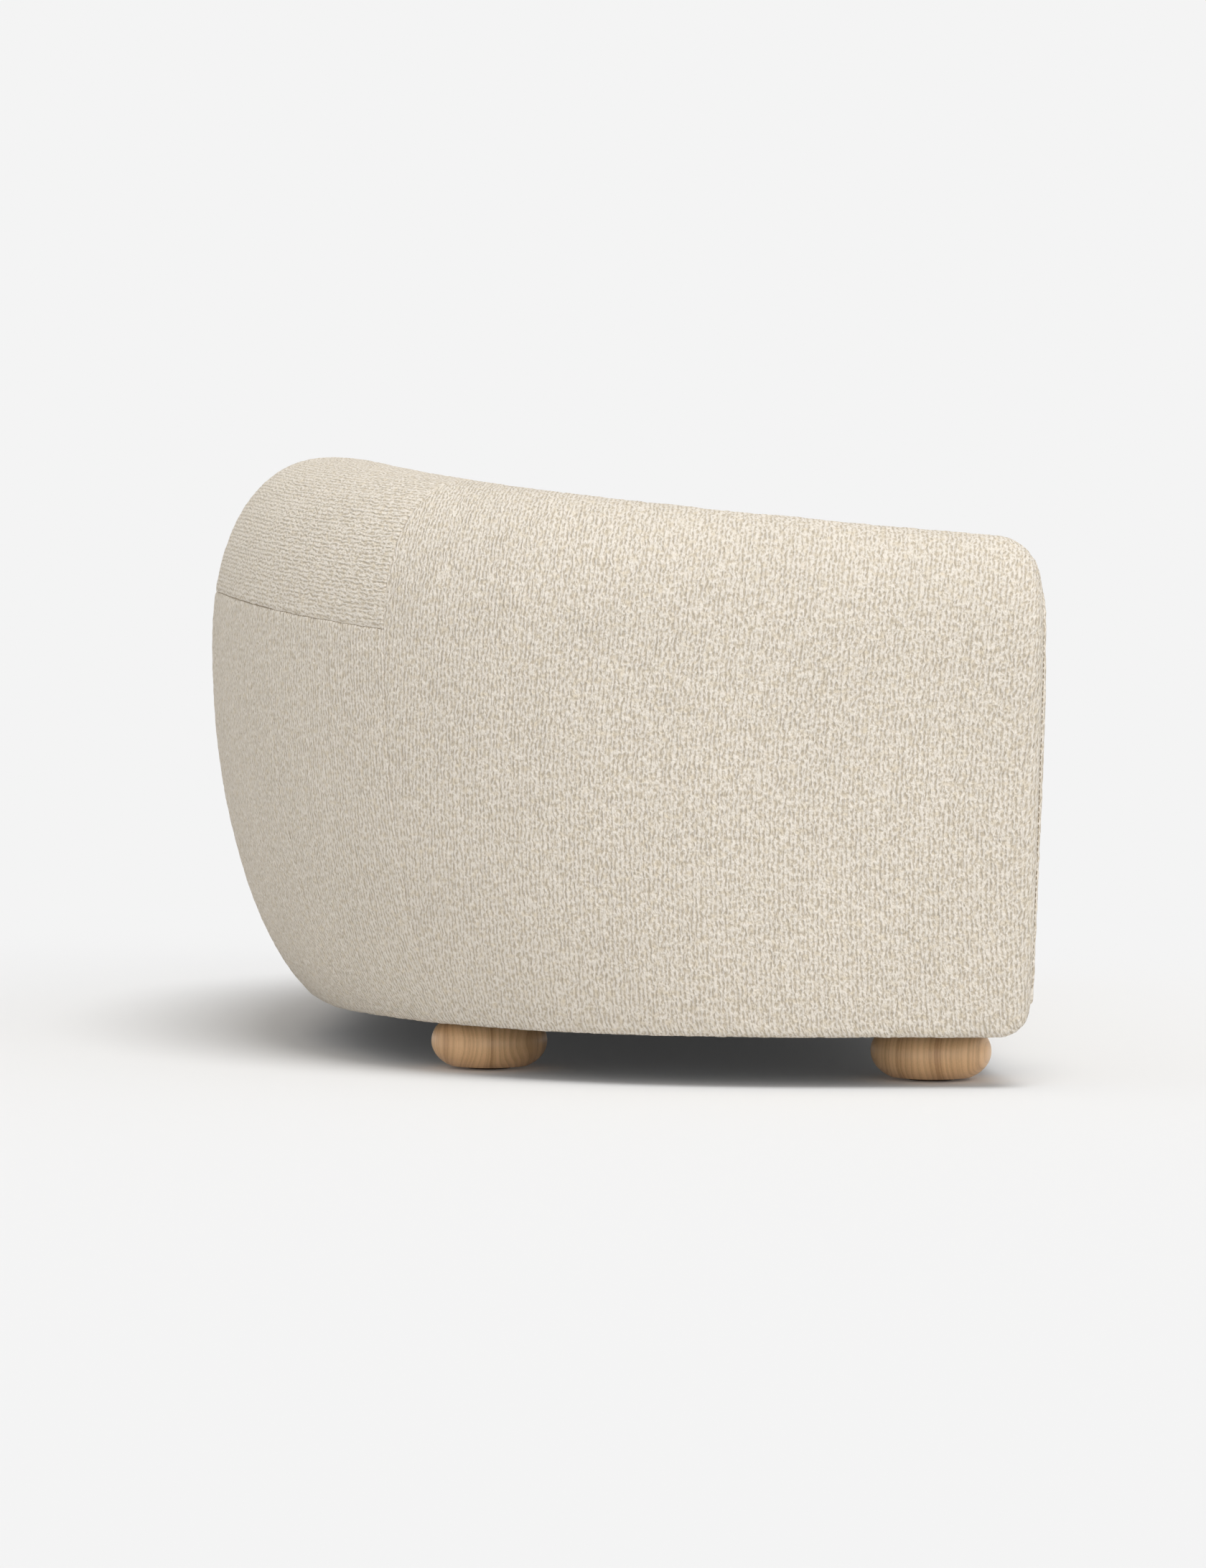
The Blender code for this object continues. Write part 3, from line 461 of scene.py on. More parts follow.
def profile(along):
    """(outward offset, height) of the wall's surface, from the outer foot over the top."""
    share = place(along)[2]
    bulge = blend(BULGE, share**BULGE_POWER)
    widest = blend(WIDEST_HEIGHT, share)
    outer = blend(OUTER_TOP_WIDTH, share**BULGE_POWER)
    inner = blend(INNER_TOP_WIDTH, share)
    inner_drop = blend(INNER_TOP_DROP, share)
    deck = -blend(DECK_INSET, share)
    top = ridge_height(along)
    outer_drop = blend((ARM_TOP_DROP, top - widest), share)
    step = np.linspace(0, 1, STEPS + 1)
    turn = step * math.pi / 2
    reach = bulge / (1 - math.sqrt(1 - LOWER_CURVE**2))
    span = (widest - UNDERSIDE_HEIGHT) / LOWER_CURVE
    low_z = UNDERSIDE_HEIGHT + (top - outer_drop - UNDERSIDE_HEIGHT) * step
    below = np.clip((widest - low_z) / span, 0, 1)
    low = np.array([bulge - reach * (1 - np.sqrt(1 - below**2)), low_z])
    across = np.cos(turn) ** (2 / TOP_POWER)
    up = np.sin(turn) ** (2 / TOP_POWER)
    over = np.array([bulge - outer + outer * across, top - outer_drop * (1 - up)])
    crest = bulge - outer
    inside = np.array([crest - inner * across, top - inner_drop * (1 - up)])[:, ::-1]
    shoulder = inside[:, -1]
    face = np.array([blend((shoulder[0], deck), step), blend((shoulder[1], DECK_HEIGHT), step)])
    base = np.array([np.full(STEPS + 1, deck), blend((DECK_HEIGHT, UNDERSIDE_HEIGHT), step)])
    points = np.concatenate([low, over[:, 1:], inside[:, 1:], face[:, 1:], base[:, 1:]], 1).T
    lift = corner_drop(BOTTOM_CORNER, along)
    full = top - UNDERSIDE_HEIGHT
    shrunk = full - lift - corner_drop(TOP_CORNER, along)
    points[:, 1] = UNDERSIDE_HEIGHT + lift + (points[:, 1] - UNDERSIDE_HEIGHT) * shrunk / full
    width = bulge - deck
    narrowed = width - corner_drop(SIDE_CORNER, along)
    points[:, 0] = deck + (points[:, 0] - deck) * narrowed / width
    return points


def inset(points, depth):
    """The profile moved inwards by depth, along its own normals."""
    slope = np.gradient(points, axis=0)
    slope /= np.linalg.norm(slope, axis=1)[:, None]
    inward = np.stack([-slope[:, 1], slope[:, 0]], 1)
    return points + inward * np.reshape(depth, (-1, 1))


def at(points, spot):
    """The profile's points at these places on its scale."""
    index = np.asarray(spot) * STEPS
    known = np.arange(len(points))
    return np.stack([np.interp(index, known, points[:, k]) for k in (0, 1)], -1)


def lean_at(along, heights):
    """How far the raked front of an arm has come forward at these heights."""
    near = min(along, LENGTH - along)
    lean = FRONT_RAKE * max(0, 1 - near / ARM_STRAIGHT / 3)
    return lean * (heights - UNDERSIDE_HEIGHT) / (ARM_HEIGHT - UNDERSIDE_HEIGHT)


def to_world(along, points):
    """Profile points (offset, height) set upright at their place on the plan."""
    point, normal, _ = place(along)
    points = np.atleast_2d(points)
    x = point[0] + normal[0] * points[:, 0]
    y = point[1] + normal[1] * points[:, 0] - lean_at(along, points[:, 1]) + TO_FRAME_Y
    return np.stack([x, y, points[:, 1]], -1)


def band_spot(along):
    """Where the seam round the back runs, on the profile's scale."""
    points = profile(along)[FOOT_LINE * STEPS : RIDGE * STEPS + 1]
    spots = np.linspace(FOOT_LINE, RIDGE, len(points))
    order = np.argsort(points[:, 1])
    return float(np.interp(ridge_height(along) - BAND_DROP, points[order, 1], spots[order]))


TUCK_SPOT = DECK_LINE + 0.22


def wall_line(along, low, high):
    """The wall's surface between two spots of its scale."""
    whole = np.arange(math.ceil(low * STEPS + 0.01), math.floor(high * STEPS - 0.01) + 1) / STEPS
    return at(profile(along), np.concatenate([[low], whole, [high]]))


def turned_under(line):
    """The line with its lower edge rounded and carried inwards under the frame."""
    corner = line[0]
    where = distances(line)
    rise = np.array([np.interp(0.008, where, line[:, k]) for k in (0, 1)])
    inner = corner + np.array([-0.009, 0.0004])
    share = np.linspace(0, 1, 8)[:, None]
    arc = inner * (1 - share) ** 2 + 2 * corner * share * (1 - share) + rise * share**2
    far = corner + np.array([-RETURN, 0.0012])
    return np.concatenate([[far], arc, line[where > 0.0085]])


def outer_arm_line(along):
    return turned_under(wall_line(along, FOOT_LINE, TOP_JOIN))


def inner_line(along):
    return wall_line(along, TOP_JOIN, TUCK_SPOT)


def lower_back_line(along):
    return turned_under(wall_line(along, FOOT_LINE, band_spot(along)))


def band_line(along):
    return wall_line(along, band_spot(along), TOP_JOIN)


# ---------------------------------------------------------------- cloth grids


def distances(line):
    """How far along the line each of its points is."""
    return np.append(0, np.cumsum(np.linalg.norm(np.diff(line, axis=0), axis=1)))


def points_on(line, where):
    """Points at these distances along a line."""
    known = distances(line)
    return np.stack([np.interp(where, known, line[:, k]) for k in range(line.shape[1])], -1)


def graded(length, count, low, high):
    """Places from 0 to length, closer together at an end that rolls into a seam."""
    start = ROLL_SPOTS if low else np.array([0.0])
    end = length - ROLL_SPOTS[::-1] if high else np.array([length])
    middle = np.linspace(start[-1], end[0], count + 2)[1:-1]
    return np.concatenate([start, middle, end])


def arm_stations(step):
    """Places along the left arm, closer together round its front and at its side seam."""
    quarter = TOP_CORNER * math.pi / 2
    turn = graded(quarter, int(quarter / step), True, False) / TOP_CORNER
    front = TOP_CORNER * (1 - np.cos(turn))
    rest = SIDE_SEAM - TOP_CORNER
    return np.concatenate([front, TOP_CORNER + graded(rest, int(rest / step), False, True)[1:]])


def stretch(start, end, step):
    """Places along a stretch of wall between two seams."""
    return start + graded(end - start, int((end - start) / step), True, True)


def mirrored(alongs):
    return LENGTH - alongs[::-1]


def wall_cloth(alongs, line, step, low_seam, high_seam):
    """A grid of points on the wall, whose columns are evenly spaced up each section."""
    lines = [line(along) for along in alongs]
    count = int(max(distances(section)[-1] for section in lines) / step)
    rows = []
    for along, section in zip(alongs, lines):
        where = graded(distances(section)[-1], count, low_seam, high_seam)
        rows.append(to_world(along, points_on(section, where)))
    return np.array(rows)


def hashed(cells, seed):
    mix = np.array([73856093, 19349663, 83492791])[: cells.shape[-1]]
    number = (cells * mix).sum(-1) + seed * 26544357
    number = (number ^ (number >> 13)) * 1274126177
    number = (number ^ (number >> 16)) & 0xFFFF
    return number / 0x7FFF - 1


def lattice_noise(points, seed):
    """Smooth noise from -1 to 1 with one lobe to a unit, the same on every run."""
    cell = np.floor(points).astype(np.int64)
    part = points - cell
    part = part * part * (3 - 2 * part)
    total = np.zeros(points.shape[:-1])
    for corner in range(2 ** points.shape[-1]):
        step = np.array([(corner >> k) & 1 for k in range(points.shape[-1])])
        share = np.prod(np.where(step, part, 1 - part), axis=-1)
        total += share * hashed(cell + step, seed)
    return total


def nap(cloth):
    """Relief of the loops that is coarse enough to shape the cloth's outline."""
    loops = lattice_noise(cloth / np.array([0.0062, 0.0100]), 7)
    return 0.00062 * loops + 0.00030 * lattice_noise(cloth / 0.0043, 11)


def settled(points):
    """Slow unevenness of cloth pulled over foam by hand."""
    return 0.0011 * lattice_noise(points / 0.21, 3) + 0.0005 * lattice_noise(points / 0.085, 5)


def roll(distance, width, depth):
    """How deep a cover has rolled in at this distance from its seam."""
    left = np.clip(1 - distance / width, 0, 1)
    return depth * (1 - np.sqrt(1 - left**2))


def grid_normals(grid):
    across = np.gradient(grid, axis=0)
    up = np.gradient(grid, axis=1)
    normal = np.cross(up, across)
    return normal / np.maximum(np.linalg.norm(normal, axis=-1), 1e-12)[..., None]


def cloth_places(grid):
    """Flat cloth coordinates in metres, measured over the surface."""
    along = np.linalg.norm(np.diff(grid, axis=0), axis=-1)
    along = np.concatenate([np.zeros((1, grid.shape[1])), np.cumsum(along, 0)])
    up = np.linalg.norm(np.diff(grid, axis=1), axis=-1)
    up = np.concatenate([np.zeros((grid.shape[0], 1)), np.cumsum(up, 1)], 1)
    return np.stack([along, up], -1)


def sewn(grid, seams, depths):
    """The grid rolled in at its seamed edges, with its loops and puckers, and its cloth places.

    depths gives the roll at the (first row, last row, first column, last column), 0 for none.
    """
    normal = grid_normals(grid)
    cloth = cloth_places(grid)
    along, up = cloth[..., 0], cloth[..., 1]
    edges = (along, along[-1] - along, up, up[:, -1:] - up)
    raised = nap(cloth) + settled(grid)
    for number, (distance, depth) in enumerate(zip(edges, depths)):
        if not depth:
            continue
        run = up if number < 2 else along
        draw = lattice_noise(np.stack([run, run * 0], -1) / 0.009, 20 + number)
        raised -= roll(distance, seams.width * (0.6 if depth < 0.002 else 1), depth)
        raised += seams.pucker * depth / seams.depth * draw * np.exp(-distance / 0.008)
    shaped = grid + normal * raised[..., None]
    for number, depth in enumerate(depths):
        if not depth:
            continue
        axis, end = (0, 1)[number // 2], (0, -1)[number % 2]
        edge, inward = np.take(shaped, [end], axis), np.take(normal, [end], axis)
        tucked, flat = edge - inward * TUCK, np.take(cloth, [end], axis)
        pieces = [(tucked, shaped), (inward, normal), (flat, cloth)]
        pieces = [pair if end == 0 else pair[::-1] for pair in pieces]
        shaped, normal, cloth = [np.concatenate(pair, axis) for pair in pieces]
    return shaped, cloth


def grid_faces(rows, columns, start=0, closed=False):
    """Quads of a grid of points. A closed grid joins its last column to its first."""
    i = np.arange(rows - 1)[:, None]
    j = np.arange(columns if closed else columns - 1)[None]
    following = (j + 1) % columns
    a, b = i * columns + j, i * columns + following
    return np.stack([a, b, b + columns, a + columns], -1).reshape(-1, 4) + start


def add_piece(name, points, faces, cloth=None, smooth=True):
    """A mesh object from points and faces, with its cloth map in metres."""
    mesh = bpy.data.meshes.new(name)
    mesh.from_pydata(np.asarray(points, float).reshape(-1, 3).tolist(), [], faces)
    if cloth is not None:
        layer = mesh.uv_layers.new(name=CLOTH_MAP)
        corners = np.zeros(len(mesh.loops), np.int32)
        mesh.loops.foreach_get("vertex_index", corners)
        layer.data.foreach_set("uv", cloth.reshape(-1, 2)[corners].astype(np.float32).ravel())
    if smooth:
        mesh.shade_smooth()
    piece = bpy.data.objects.new(name, mesh)
    bpy.context.scene.collection.objects.link(piece)
    return piece


def cloth_piece(name, grid, seams, depths, railroaded=False):
    shaped, cloth = sewn(grid, seams, depths)
    if railroaded:
        cloth = cloth[..., ::-1]
    faces = grid_faces(*shaped.shape[:2]).tolist()
    return add_piece(name, shaped, faces, cloth)


def joined(name, parts):
    """One piece from several (points, faces, cloth) parts."""
    points, faces, cloth, start = [], [], [], 0
    for part_points, part_faces, part_cloth in parts:
        flat = np.asarray(part_points, float).reshape(-1, 3)
        points.append(flat)
        faces += [[k + start for k in face] for face in part_faces]
        cloth.append(np.asarray(part_cloth, float).reshape(-1, 2))
        start += len(flat)
    return add_piece(name, np.concatenate(points), faces, np.concatenate(cloth))


def dress(piece, material, body, slot, *nodes):
    """Gives a piece its material and the body it rides on, and hides the nodes it stands for. The slot is not
    used.
    """
    piece.data.materials.clear()
    piece.data.materials.append(material)
    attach(piece, body)
    if nodes:
        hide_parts(*nodes)
    return piece


# ---------------------------------------------------------------- shapes


def loft(rings, capped=True):
    """(points, faces) through closed rings of points, with a flat cap at each end."""
    count = len(rings[0])
    faces = grid_faces(len(rings), count, closed=True).tolist()
    if capped:
        last = (len(rings) - 1) * count
        faces.append(list(range(count))[::-1])
        faces.append([last + k for k in range(count)])
    return np.concatenate(rings), faces


def turned_solid(outline, centre, segments):
    """(points, faces) of a solid of revolution from (radius, height) points off the axis."""
    angle = np.linspace(0, 2 * math.pi, segments, endpoint=False)
    rings = []
    for radius, height in outline:
        x = centre[0] + radius * np.cos(angle)
        rings.append(np.stack([x, centre[1] + radius * np.sin(angle), np.full(segments, height)], 1))
    return loft(rings)


def tube(path, radii, sides=6, up=(0, 0, 1)):
    """(points, faces, cloth) of a round wire along a path."""
    path = np.asarray(path, float)
    ahead = np.gradient(path, axis=0)
    ahead /= np.linalg.norm(ahead, axis=1)[:, None]
    across = np.cross(ahead, np.asarray(up, float))
    across /= np.maximum(np.linalg.norm(across, axis=1), 1e-9)[:, None]
    over = np.cross(across, ahead)
    angle = np.linspace(0, 2 * math.pi, sides, endpoint=False)
    spread = np.broadcast_to(np.asarray(radii, float), len(path))
    rings = []
    for point, a, b, radius in zip(path, across, over, spread):
        rings.append(point + radius * (np.cos(angle)[:, None] * a + np.sin(angle)[:, None] * b))
    points, faces = loft(rings)
    return points, faces, np.zeros((len(points), 2))


def disc_grid(outline, centre, shares):
    """Rings of points from a flat outline in to its centre."""
    flat = np.asarray(outline, float)[None] - centre
    return centre + flat * np.asarray(shares, float)[:, None, None]


def even_outline(outline, count):
    """A closed outline with its points evenly spaced."""
    closed = np.concatenate([outline, outline[:1]])
    where = np.linspace(0, distances(closed)[-1], count + 1)[:-1]
    return points_on(closed, where)


def inward(outline, depth):
    """A convex outline moved inwards by depth, with mitred corners."""
    ahead = np.roll(outline, -1, 0) - outline
    ahead /= np.linalg.norm(ahead, axis=1)[:, None]
    normal = np.stack([-ahead[:, 1], ahead[:, 0]], 1)
    mitred = normal + np.roll(normal, 1, 0)
    mitred /= (1 + (normal * np.roll(normal, 1, 0)).sum(1))[:, None]
    return outline + mitred * depth


def soft_block(outline, low, high, edge, crown, fine=5):
    """(points, faces) of a block of foam with rounded edges and a crowned top."""
    turns = np.linspace(0, math.pi / 2, fine)
    shoulder = high - crown
    levels = [(edge * (1 - math.sin(t)), low + edge * (1 - math.cos(t))) for t in turns]
    levels += [(edge * (1 - math.cos(t)), shoulder - edge * (1 - math.sin(t))) for t in turns]
    rings = []
    for margin, height in levels:
        ring = inward(outline, margin)
        rings.append(np.column_stack([ring, np.full(len(ring), height)]))
    middle = rings[-1].mean(0)
    for share in (0.93, 0.84, 0.72, 0.58, 0.42, 0.26, 0.1):
        ring = middle + (rings[len(levels) - 1] - middle) * share
        ring[:, 2] = shoulder + crown * (1 - share**2.2)
        rings.append(ring)
    return loft(rings)


def wall_outline(extra, front):
    """The plan inside the inner faces at the deck less a margin, cut straight at the front."""
    points = []
    for along in np.linspace(0, LENGTH, 700):
        point, normal, share = place(along)
        points.append(point - normal * (blend(DECK_INSET, share) + extra))
    return with_front(np.array(points), front)


def edge_outline(margin, front):
    """The plan inside the outer bottom edge, less a margin."""
    points = []
    for along in np.linspace(0, LENGTH, 700):
        point, normal, _ = place(along)
        points.append(point - normal * margin)
    return with_front(np.array(points), front)


def with_front(points, front):
    kept = points[points[:, 1] > front + 0.002]
    ends = np.array([[kept[0, 0], front], [kept[-1, 0], front]])
    line = np.concatenate([ends[:1], kept, ends[1:]])
    return line[::-1] + np.array([0, TO_FRAME_Y])


def foot_places():
    """The middle of each foot in plan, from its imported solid."""
    spots = {}
    for name in ("front_left", "front_right", "back_left", "back_right"):
        low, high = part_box("foot_" + name)
        spots[name] = np.array([(low.x + high.x) / 2, (low.y + high.y) / 2])
    return spots


def bun_outline(bottom, top):
    """(radius, height) up the outside of a bun foot, with its sharp edges eased."""
    middle = FOOT_HALF_HEIGHT
    core = FOOT_RADIUS - FOOT_ROUND
    high = math.asin(min((top - middle) / FOOT_HALF_HEIGHT, 1))
    low = math.asin(max((bottom - middle) / FOOT_HALF_HEIGHT, -1))
    turns = np.linspace(low, high, 40)
    points = [(core + FOOT_ROUND * math.cos(t), middle + FOOT_HALF_HEIGHT * math.sin(t)) for t in turns]
    return [(points[0][0] - 0.004, bottom), *points[1:-1], (points[-1][0] - 0.0015, top)]


# ---------------------------------------------------------------- materials


def node(tree, kind, inputs=None, **settings):
    """Adds one node with its settings, and links or sets its inputs by name or number."""
    made = tree.nodes.new("ShaderNode" + kind)
    for name, value in settings.items():
        setattr(made, name, value)
    for key, value in (inputs or {}).items():
        if isinstance(value, bpy.types.NodeSocket):
            tree.links.new(value, made.inputs[key])
        else:
            made.inputs[key].default_value = value
    return made


def new_material(name, **values):
    """(material, its tree, its surface shader), with plain values set on the shader."""
    made = bpy.data.materials.new(name)
    made.use_nodes = True
    shader = made.node_tree.nodes["Principled BSDF"]
    for socket, value in values.items():
        shader.inputs[socket.replace("_", " ")].default_value = value
    return made, made.node_tree, shader


def shown_colour(material, colour):
    material.diffuse_color = (*colour, 1)
    return material


def woven_boucle(settings):
    """Boucle: looped, nubbly wool-blend yarn woven into wandering ribs on a plain ground.

    To the eye it is matt and soft, with light loop tops and darker short dashes between them,
    the ground yarn's colour with painted shade in the hollows, and a faint bloom where it turns away.
    """
    made, tree, shader = new_material(
        "woven_wool_boucle", Roughness=0.95, Specular_IOR_Level=0.12, Sheen_Weight=0.11, Sheen_Roughness=0.55
    )
    shader.inputs["Sheen Tint"].default_value = (*settings.light, 1)
    cloth = node(tree, "UVMap", uv_map=CLOTH_MAP).outputs["UV"]
    # The ribs wander by about 1 mm over 20 mm.
    drift = node(tree, "TexNoise", {"Vector": cloth, "Scale": 1 / 0.020, "Detail": 1.0})
    sway = node(
        tree,
        "VectorMath",
        {0: drift.outputs["Color"], 1: (0.0034, 0.0045, 0), 2: cloth},
        operation="MULTIPLY_ADD",
    ).outputs[0]
    # A rib breaks off or slips sideways every one or two loops.
    across, length = 1 / settings.rib, 1 / settings.loop
    lanes = node(tree, "VectorMath", {0: sway, 1: (across, length, 0)}, operation="MULTIPLY").outputs[0]
    slips = node(tree, "TexNoise", {"Vector": lanes, "Scale": 0.75, "Detail": 1.0})
    slip = node(tree, "Math", {0: slips.outputs["Fac"], 1: 8.0}, operation="MULTIPLY").outputs[0]
    side = node(tree, "SeparateXYZ", {0: sway}).outputs["X"]
    turn = node(
        tree, "Math", {0: side, 1: 2 * math.pi / settings.rib, 2: slip}, operation="MULTIPLY_ADD"
    )
    ribs = node(tree, "Math", {0: turn.outputs[0]}, operation="SINE").outputs[0]
    # Single loops, half a rib across and half as long again as a rib.
    spots = node(
        tree, "VectorMath", {0: sway, 1: (2.1 * across, 2.0 * length, 0)}, operation="MULTIPLY"
    ).outputs[0]
    loops = node(tree, "TexNoise", {"Vector": spots, "Scale": 1.0, "Detail": 1.0, "Roughness": 0.6})
    # Twisted fibres, really 0.3 mm, drawn at 1.2 mm so that they show.
    fibre = node(tree, "TexNoise", {"Vector": sway, "Scale": 1 / 0.0012, "Detail": 1.0})
    raised = node(tree, "Math", {0: ribs, 1: 0.12, 2: loops.outputs["Fac"]}, operation="MULTIPLY_ADD")
    height = node(
        tree, "Math", {0: fibre.outputs["Fac"], 1: 0.16, 2: raised.outputs[0]}, operation="MULTIPLY_ADD"
    ).outputs[0]
    # The lower the cloth lies, the more ground colour it takes: painted shade in the hollows between the
    # loops.
    clear_of_hollow_shade = node(
        tree,
        "MapRange",
        {"Value": height, "From Min": 0.36, "From Max": 0.68},
        interpolation_type="SMOOTHSTEP",
    ).outputs["Result"]
    # Each loop's yarn is a little warmer or cooler, over about 9 mm.
    blendings = node(tree, "TexNoise", {"Vector": sway, "Scale": 1 / 0.009, "Detail": 2.0})
    warm = node(
        tree, "MapRange", {"Value": blendings.outputs["Fac"], "From Min": 0.5, "From Max": 0.72}
    ).outputs["Result"]
    yarn = node(
        tree, "Mix", {0: warm, 6: (*settings.light, 1), 7: (*settings.fleck, 1)}, data_type="RGBA"
    ).outputs[2]
    colour = node(tree, "Mix", {0: clear_of_hollow_shade, 6: (*settings.ground_and_hollow_shade, 1), 7: yarn}, data_type="RGBA")
    # The dye takes unevenly by a few percent over a hand's width.
    patches = node(tree, "TexNoise", {"Vector": cloth, "Scale": 1 / 0.11, "Detail": 3.0})
    value = node(tree, "MapRange", {"Value": patches.outputs["Fac"], "To Min": 0.95, "To Max": 1.05})
    dyed = node(
        tree,
        "HueSaturation",
        {"Color": colour.outputs[2], "Value": value.outputs["Result"]},
    )
    bump = node(tree, "Bump", {"Height": height, "Distance": settings.pile, "Strength": 1.0})
    tree.links.new(dyed.outputs["Color"], shader.inputs["Base Color"])
    tree.links.new(bump.outputs["Normal"], shader.inputs["Normal"])
    return shown_colour(made, settings.light)


def turned_ash(settings):
    """Ash or elm turned on a lathe, sanded and given a satin oil.

    To the eye it has upright streaks and an arched figure, a warm brown between honey and
    walnut, and a soft broad shine.
    """
    made, tree, shader = new_material(
        "turned_oiled_wood", Specular_IOR_Level=0.45, Coat_Weight=0.12, Coat_Roughness=0.30
    )
    spot = node(tree, "TexCoord").outputs["Object"]
    # The log's growth bends slowly: by some 20 mm over 90 mm across, and hardly at all up the grain.
    slow = node(tree, "VectorMath", {0: spot, 1: (11, 11, 2.2)}, operation="MULTIPLY").outputs[0]
    bend = node(tree, "TexNoise", {"Vector": slow, "Scale": 1.0, "Detail": 1.5, "Roughness": 0.4})
    parts = node(tree, "SeparateXYZ", {0: spot})
    sides = {0: parts.outputs["X"], 1: 0.04, 2: parts.outputs["Y"]}
    lean = node(tree, "Math", sides, operation="MULTIPLY_ADD")
    bowed = node(
        tree, "Math", {0: bend.outputs["Fac"], 1: 0.060, 2: lean.outputs[0]}, operation="MULTIPLY_ADD"
    )
    rings = node(tree, "Math", {0: bowed.outputs[0], 1: 1 / settings.ring}, operation="MULTIPLY").outputs[0]
    share = node(tree, "Math", {0: rings}, operation="FRACT").outputs[0]
    # Late wood darkens slowly across a year's growth and ends sharply.
    late = node(tree, "Math", {0: share, 1: 2.6}, operation="POWER").outputs[0]
    # Years differ: wide light and dark zones, 10 to 25 mm across.
    zone_at = node(tree, "CombineXYZ", {0: rings}).outputs[0]
    zones = node(tree, "TexNoise", {"Vector": zone_at, "Scale": 0.34, "Detail": 3.0, "Roughness": 0.7})
    zone = node(
        tree, "MapRange", {"Value": zones.outputs["Fac"], "From Min": 0.44, "From Max": 0.72}
    ).outputs["Result"]
    # Fibres run up the foot: 0.8 mm wide and 30 mm long, drawn twice as wide as they are.
    grain_at = node(tree, "VectorMath", {0: spot, 1: (1200, 1200, 34)}, operation="MULTIPLY").outputs[0]
    grain = node(tree, "TexNoise", {"Vector": grain_at, "Scale": 1.0, "Detail": 3.0, "Roughness": 0.6})
    some = node(tree, "Math", {0: late, 1: 0.24}, operation="MULTIPLY").outputs[0]
    dark = node(tree, "Math", {0: zone, 1: 0.66, 2: some}, operation="MULTIPLY_ADD").outputs[0]
    streak = node(
        tree, "MapRange", {"Value": grain.outputs["Fac"], "To Min": -0.22, "To Max": 0.22}
    ).outputs["Result"]
    mixed = node(tree, "Math", {0: dark, 1: streak}, operation="ADD", use_clamp=True).outputs[0]
    colour = node(tree, "Mix", {0: mixed, 6: (*settings.light, 1), 7: (*settings.dark, 1)}, data_type="RGBA")
    gloss = node(tree, "MapRange", {"Value": mixed, "To Min": 0.36, "To Max": 0.50})
    bump = node(tree, "Bump", {"Height": grain.outputs["Fac"], "Distance": 0.00025, "Strength": 0.5})
    tree.links.new(colour.outputs[2], shader.inputs["Base Color"])
    tree.links.new(gloss.outputs["Result"], shader.inputs["Roughness"])
    tree.links.new(bump.outputs["Normal"], shader.inputs["Normal"])
    return shown_colour(made, settings.light)


def sawn_wood(name, light, dark, scale, layers=None):
    """Pine sawn along its grain, or birch veneers pressed into plywood.

    To the eye pine is pale with tan lines along the board. Plywood is quieter, and its
    edge shows its veneers as stripes, really 1.4 mm and drawn at 3 mm.
    """
    made, tree, shader = new_material(name, Roughness=0.7, Specular_IOR_Level=0.3)
    spot = node(tree, "TexCoord").outputs["Object"]
    stretched = node(tree, "VectorMath", {0: spot, 1: scale}, operation="MULTIPLY").outputs[0]
    figure = node(tree, "TexNoise", {"Vector": stretched, "Scale": 1.0, "Detail": 4.0, "Distortion": 0.4})
    amount = node(
        tree, "MapRange", {"Value": figure.outputs["Fac"], "From Min": 0.35, "From Max": 0.7}
    ).outputs["Result"]
    if layers:
        height = node(tree, "SeparateXYZ", {0: spot}).outputs["Z"]
        turns = node(tree, "Math", {0: height, 1: 2 * math.pi / layers}, operation="MULTIPLY").outputs[0]
        stripe = node(tree, "Math", {0: turns}, operation="SINE").outputs[0]
        amount = node(tree, "Math", {0: stripe, 1: 0.22, 2: amount}, operation="MULTIPLY_ADD").outputs[0]
    colour = node(
        tree, "Mix", {0: amount, 6: (*linear(light), 1), 7: (*linear(dark), 1)}, data_type="RGBA"
    )
    bump = node(tree, "Bump", {"Height": figure.outputs["Fac"], "Distance": 0.0004, "Strength": 0.6})
    tree.links.new(colour.outputs[2], shader.inputs["Base Color"])
    tree.links.new(bump.outputs["Normal"], shader.inputs["Normal"])
    return shown_colour(made, linear(light))


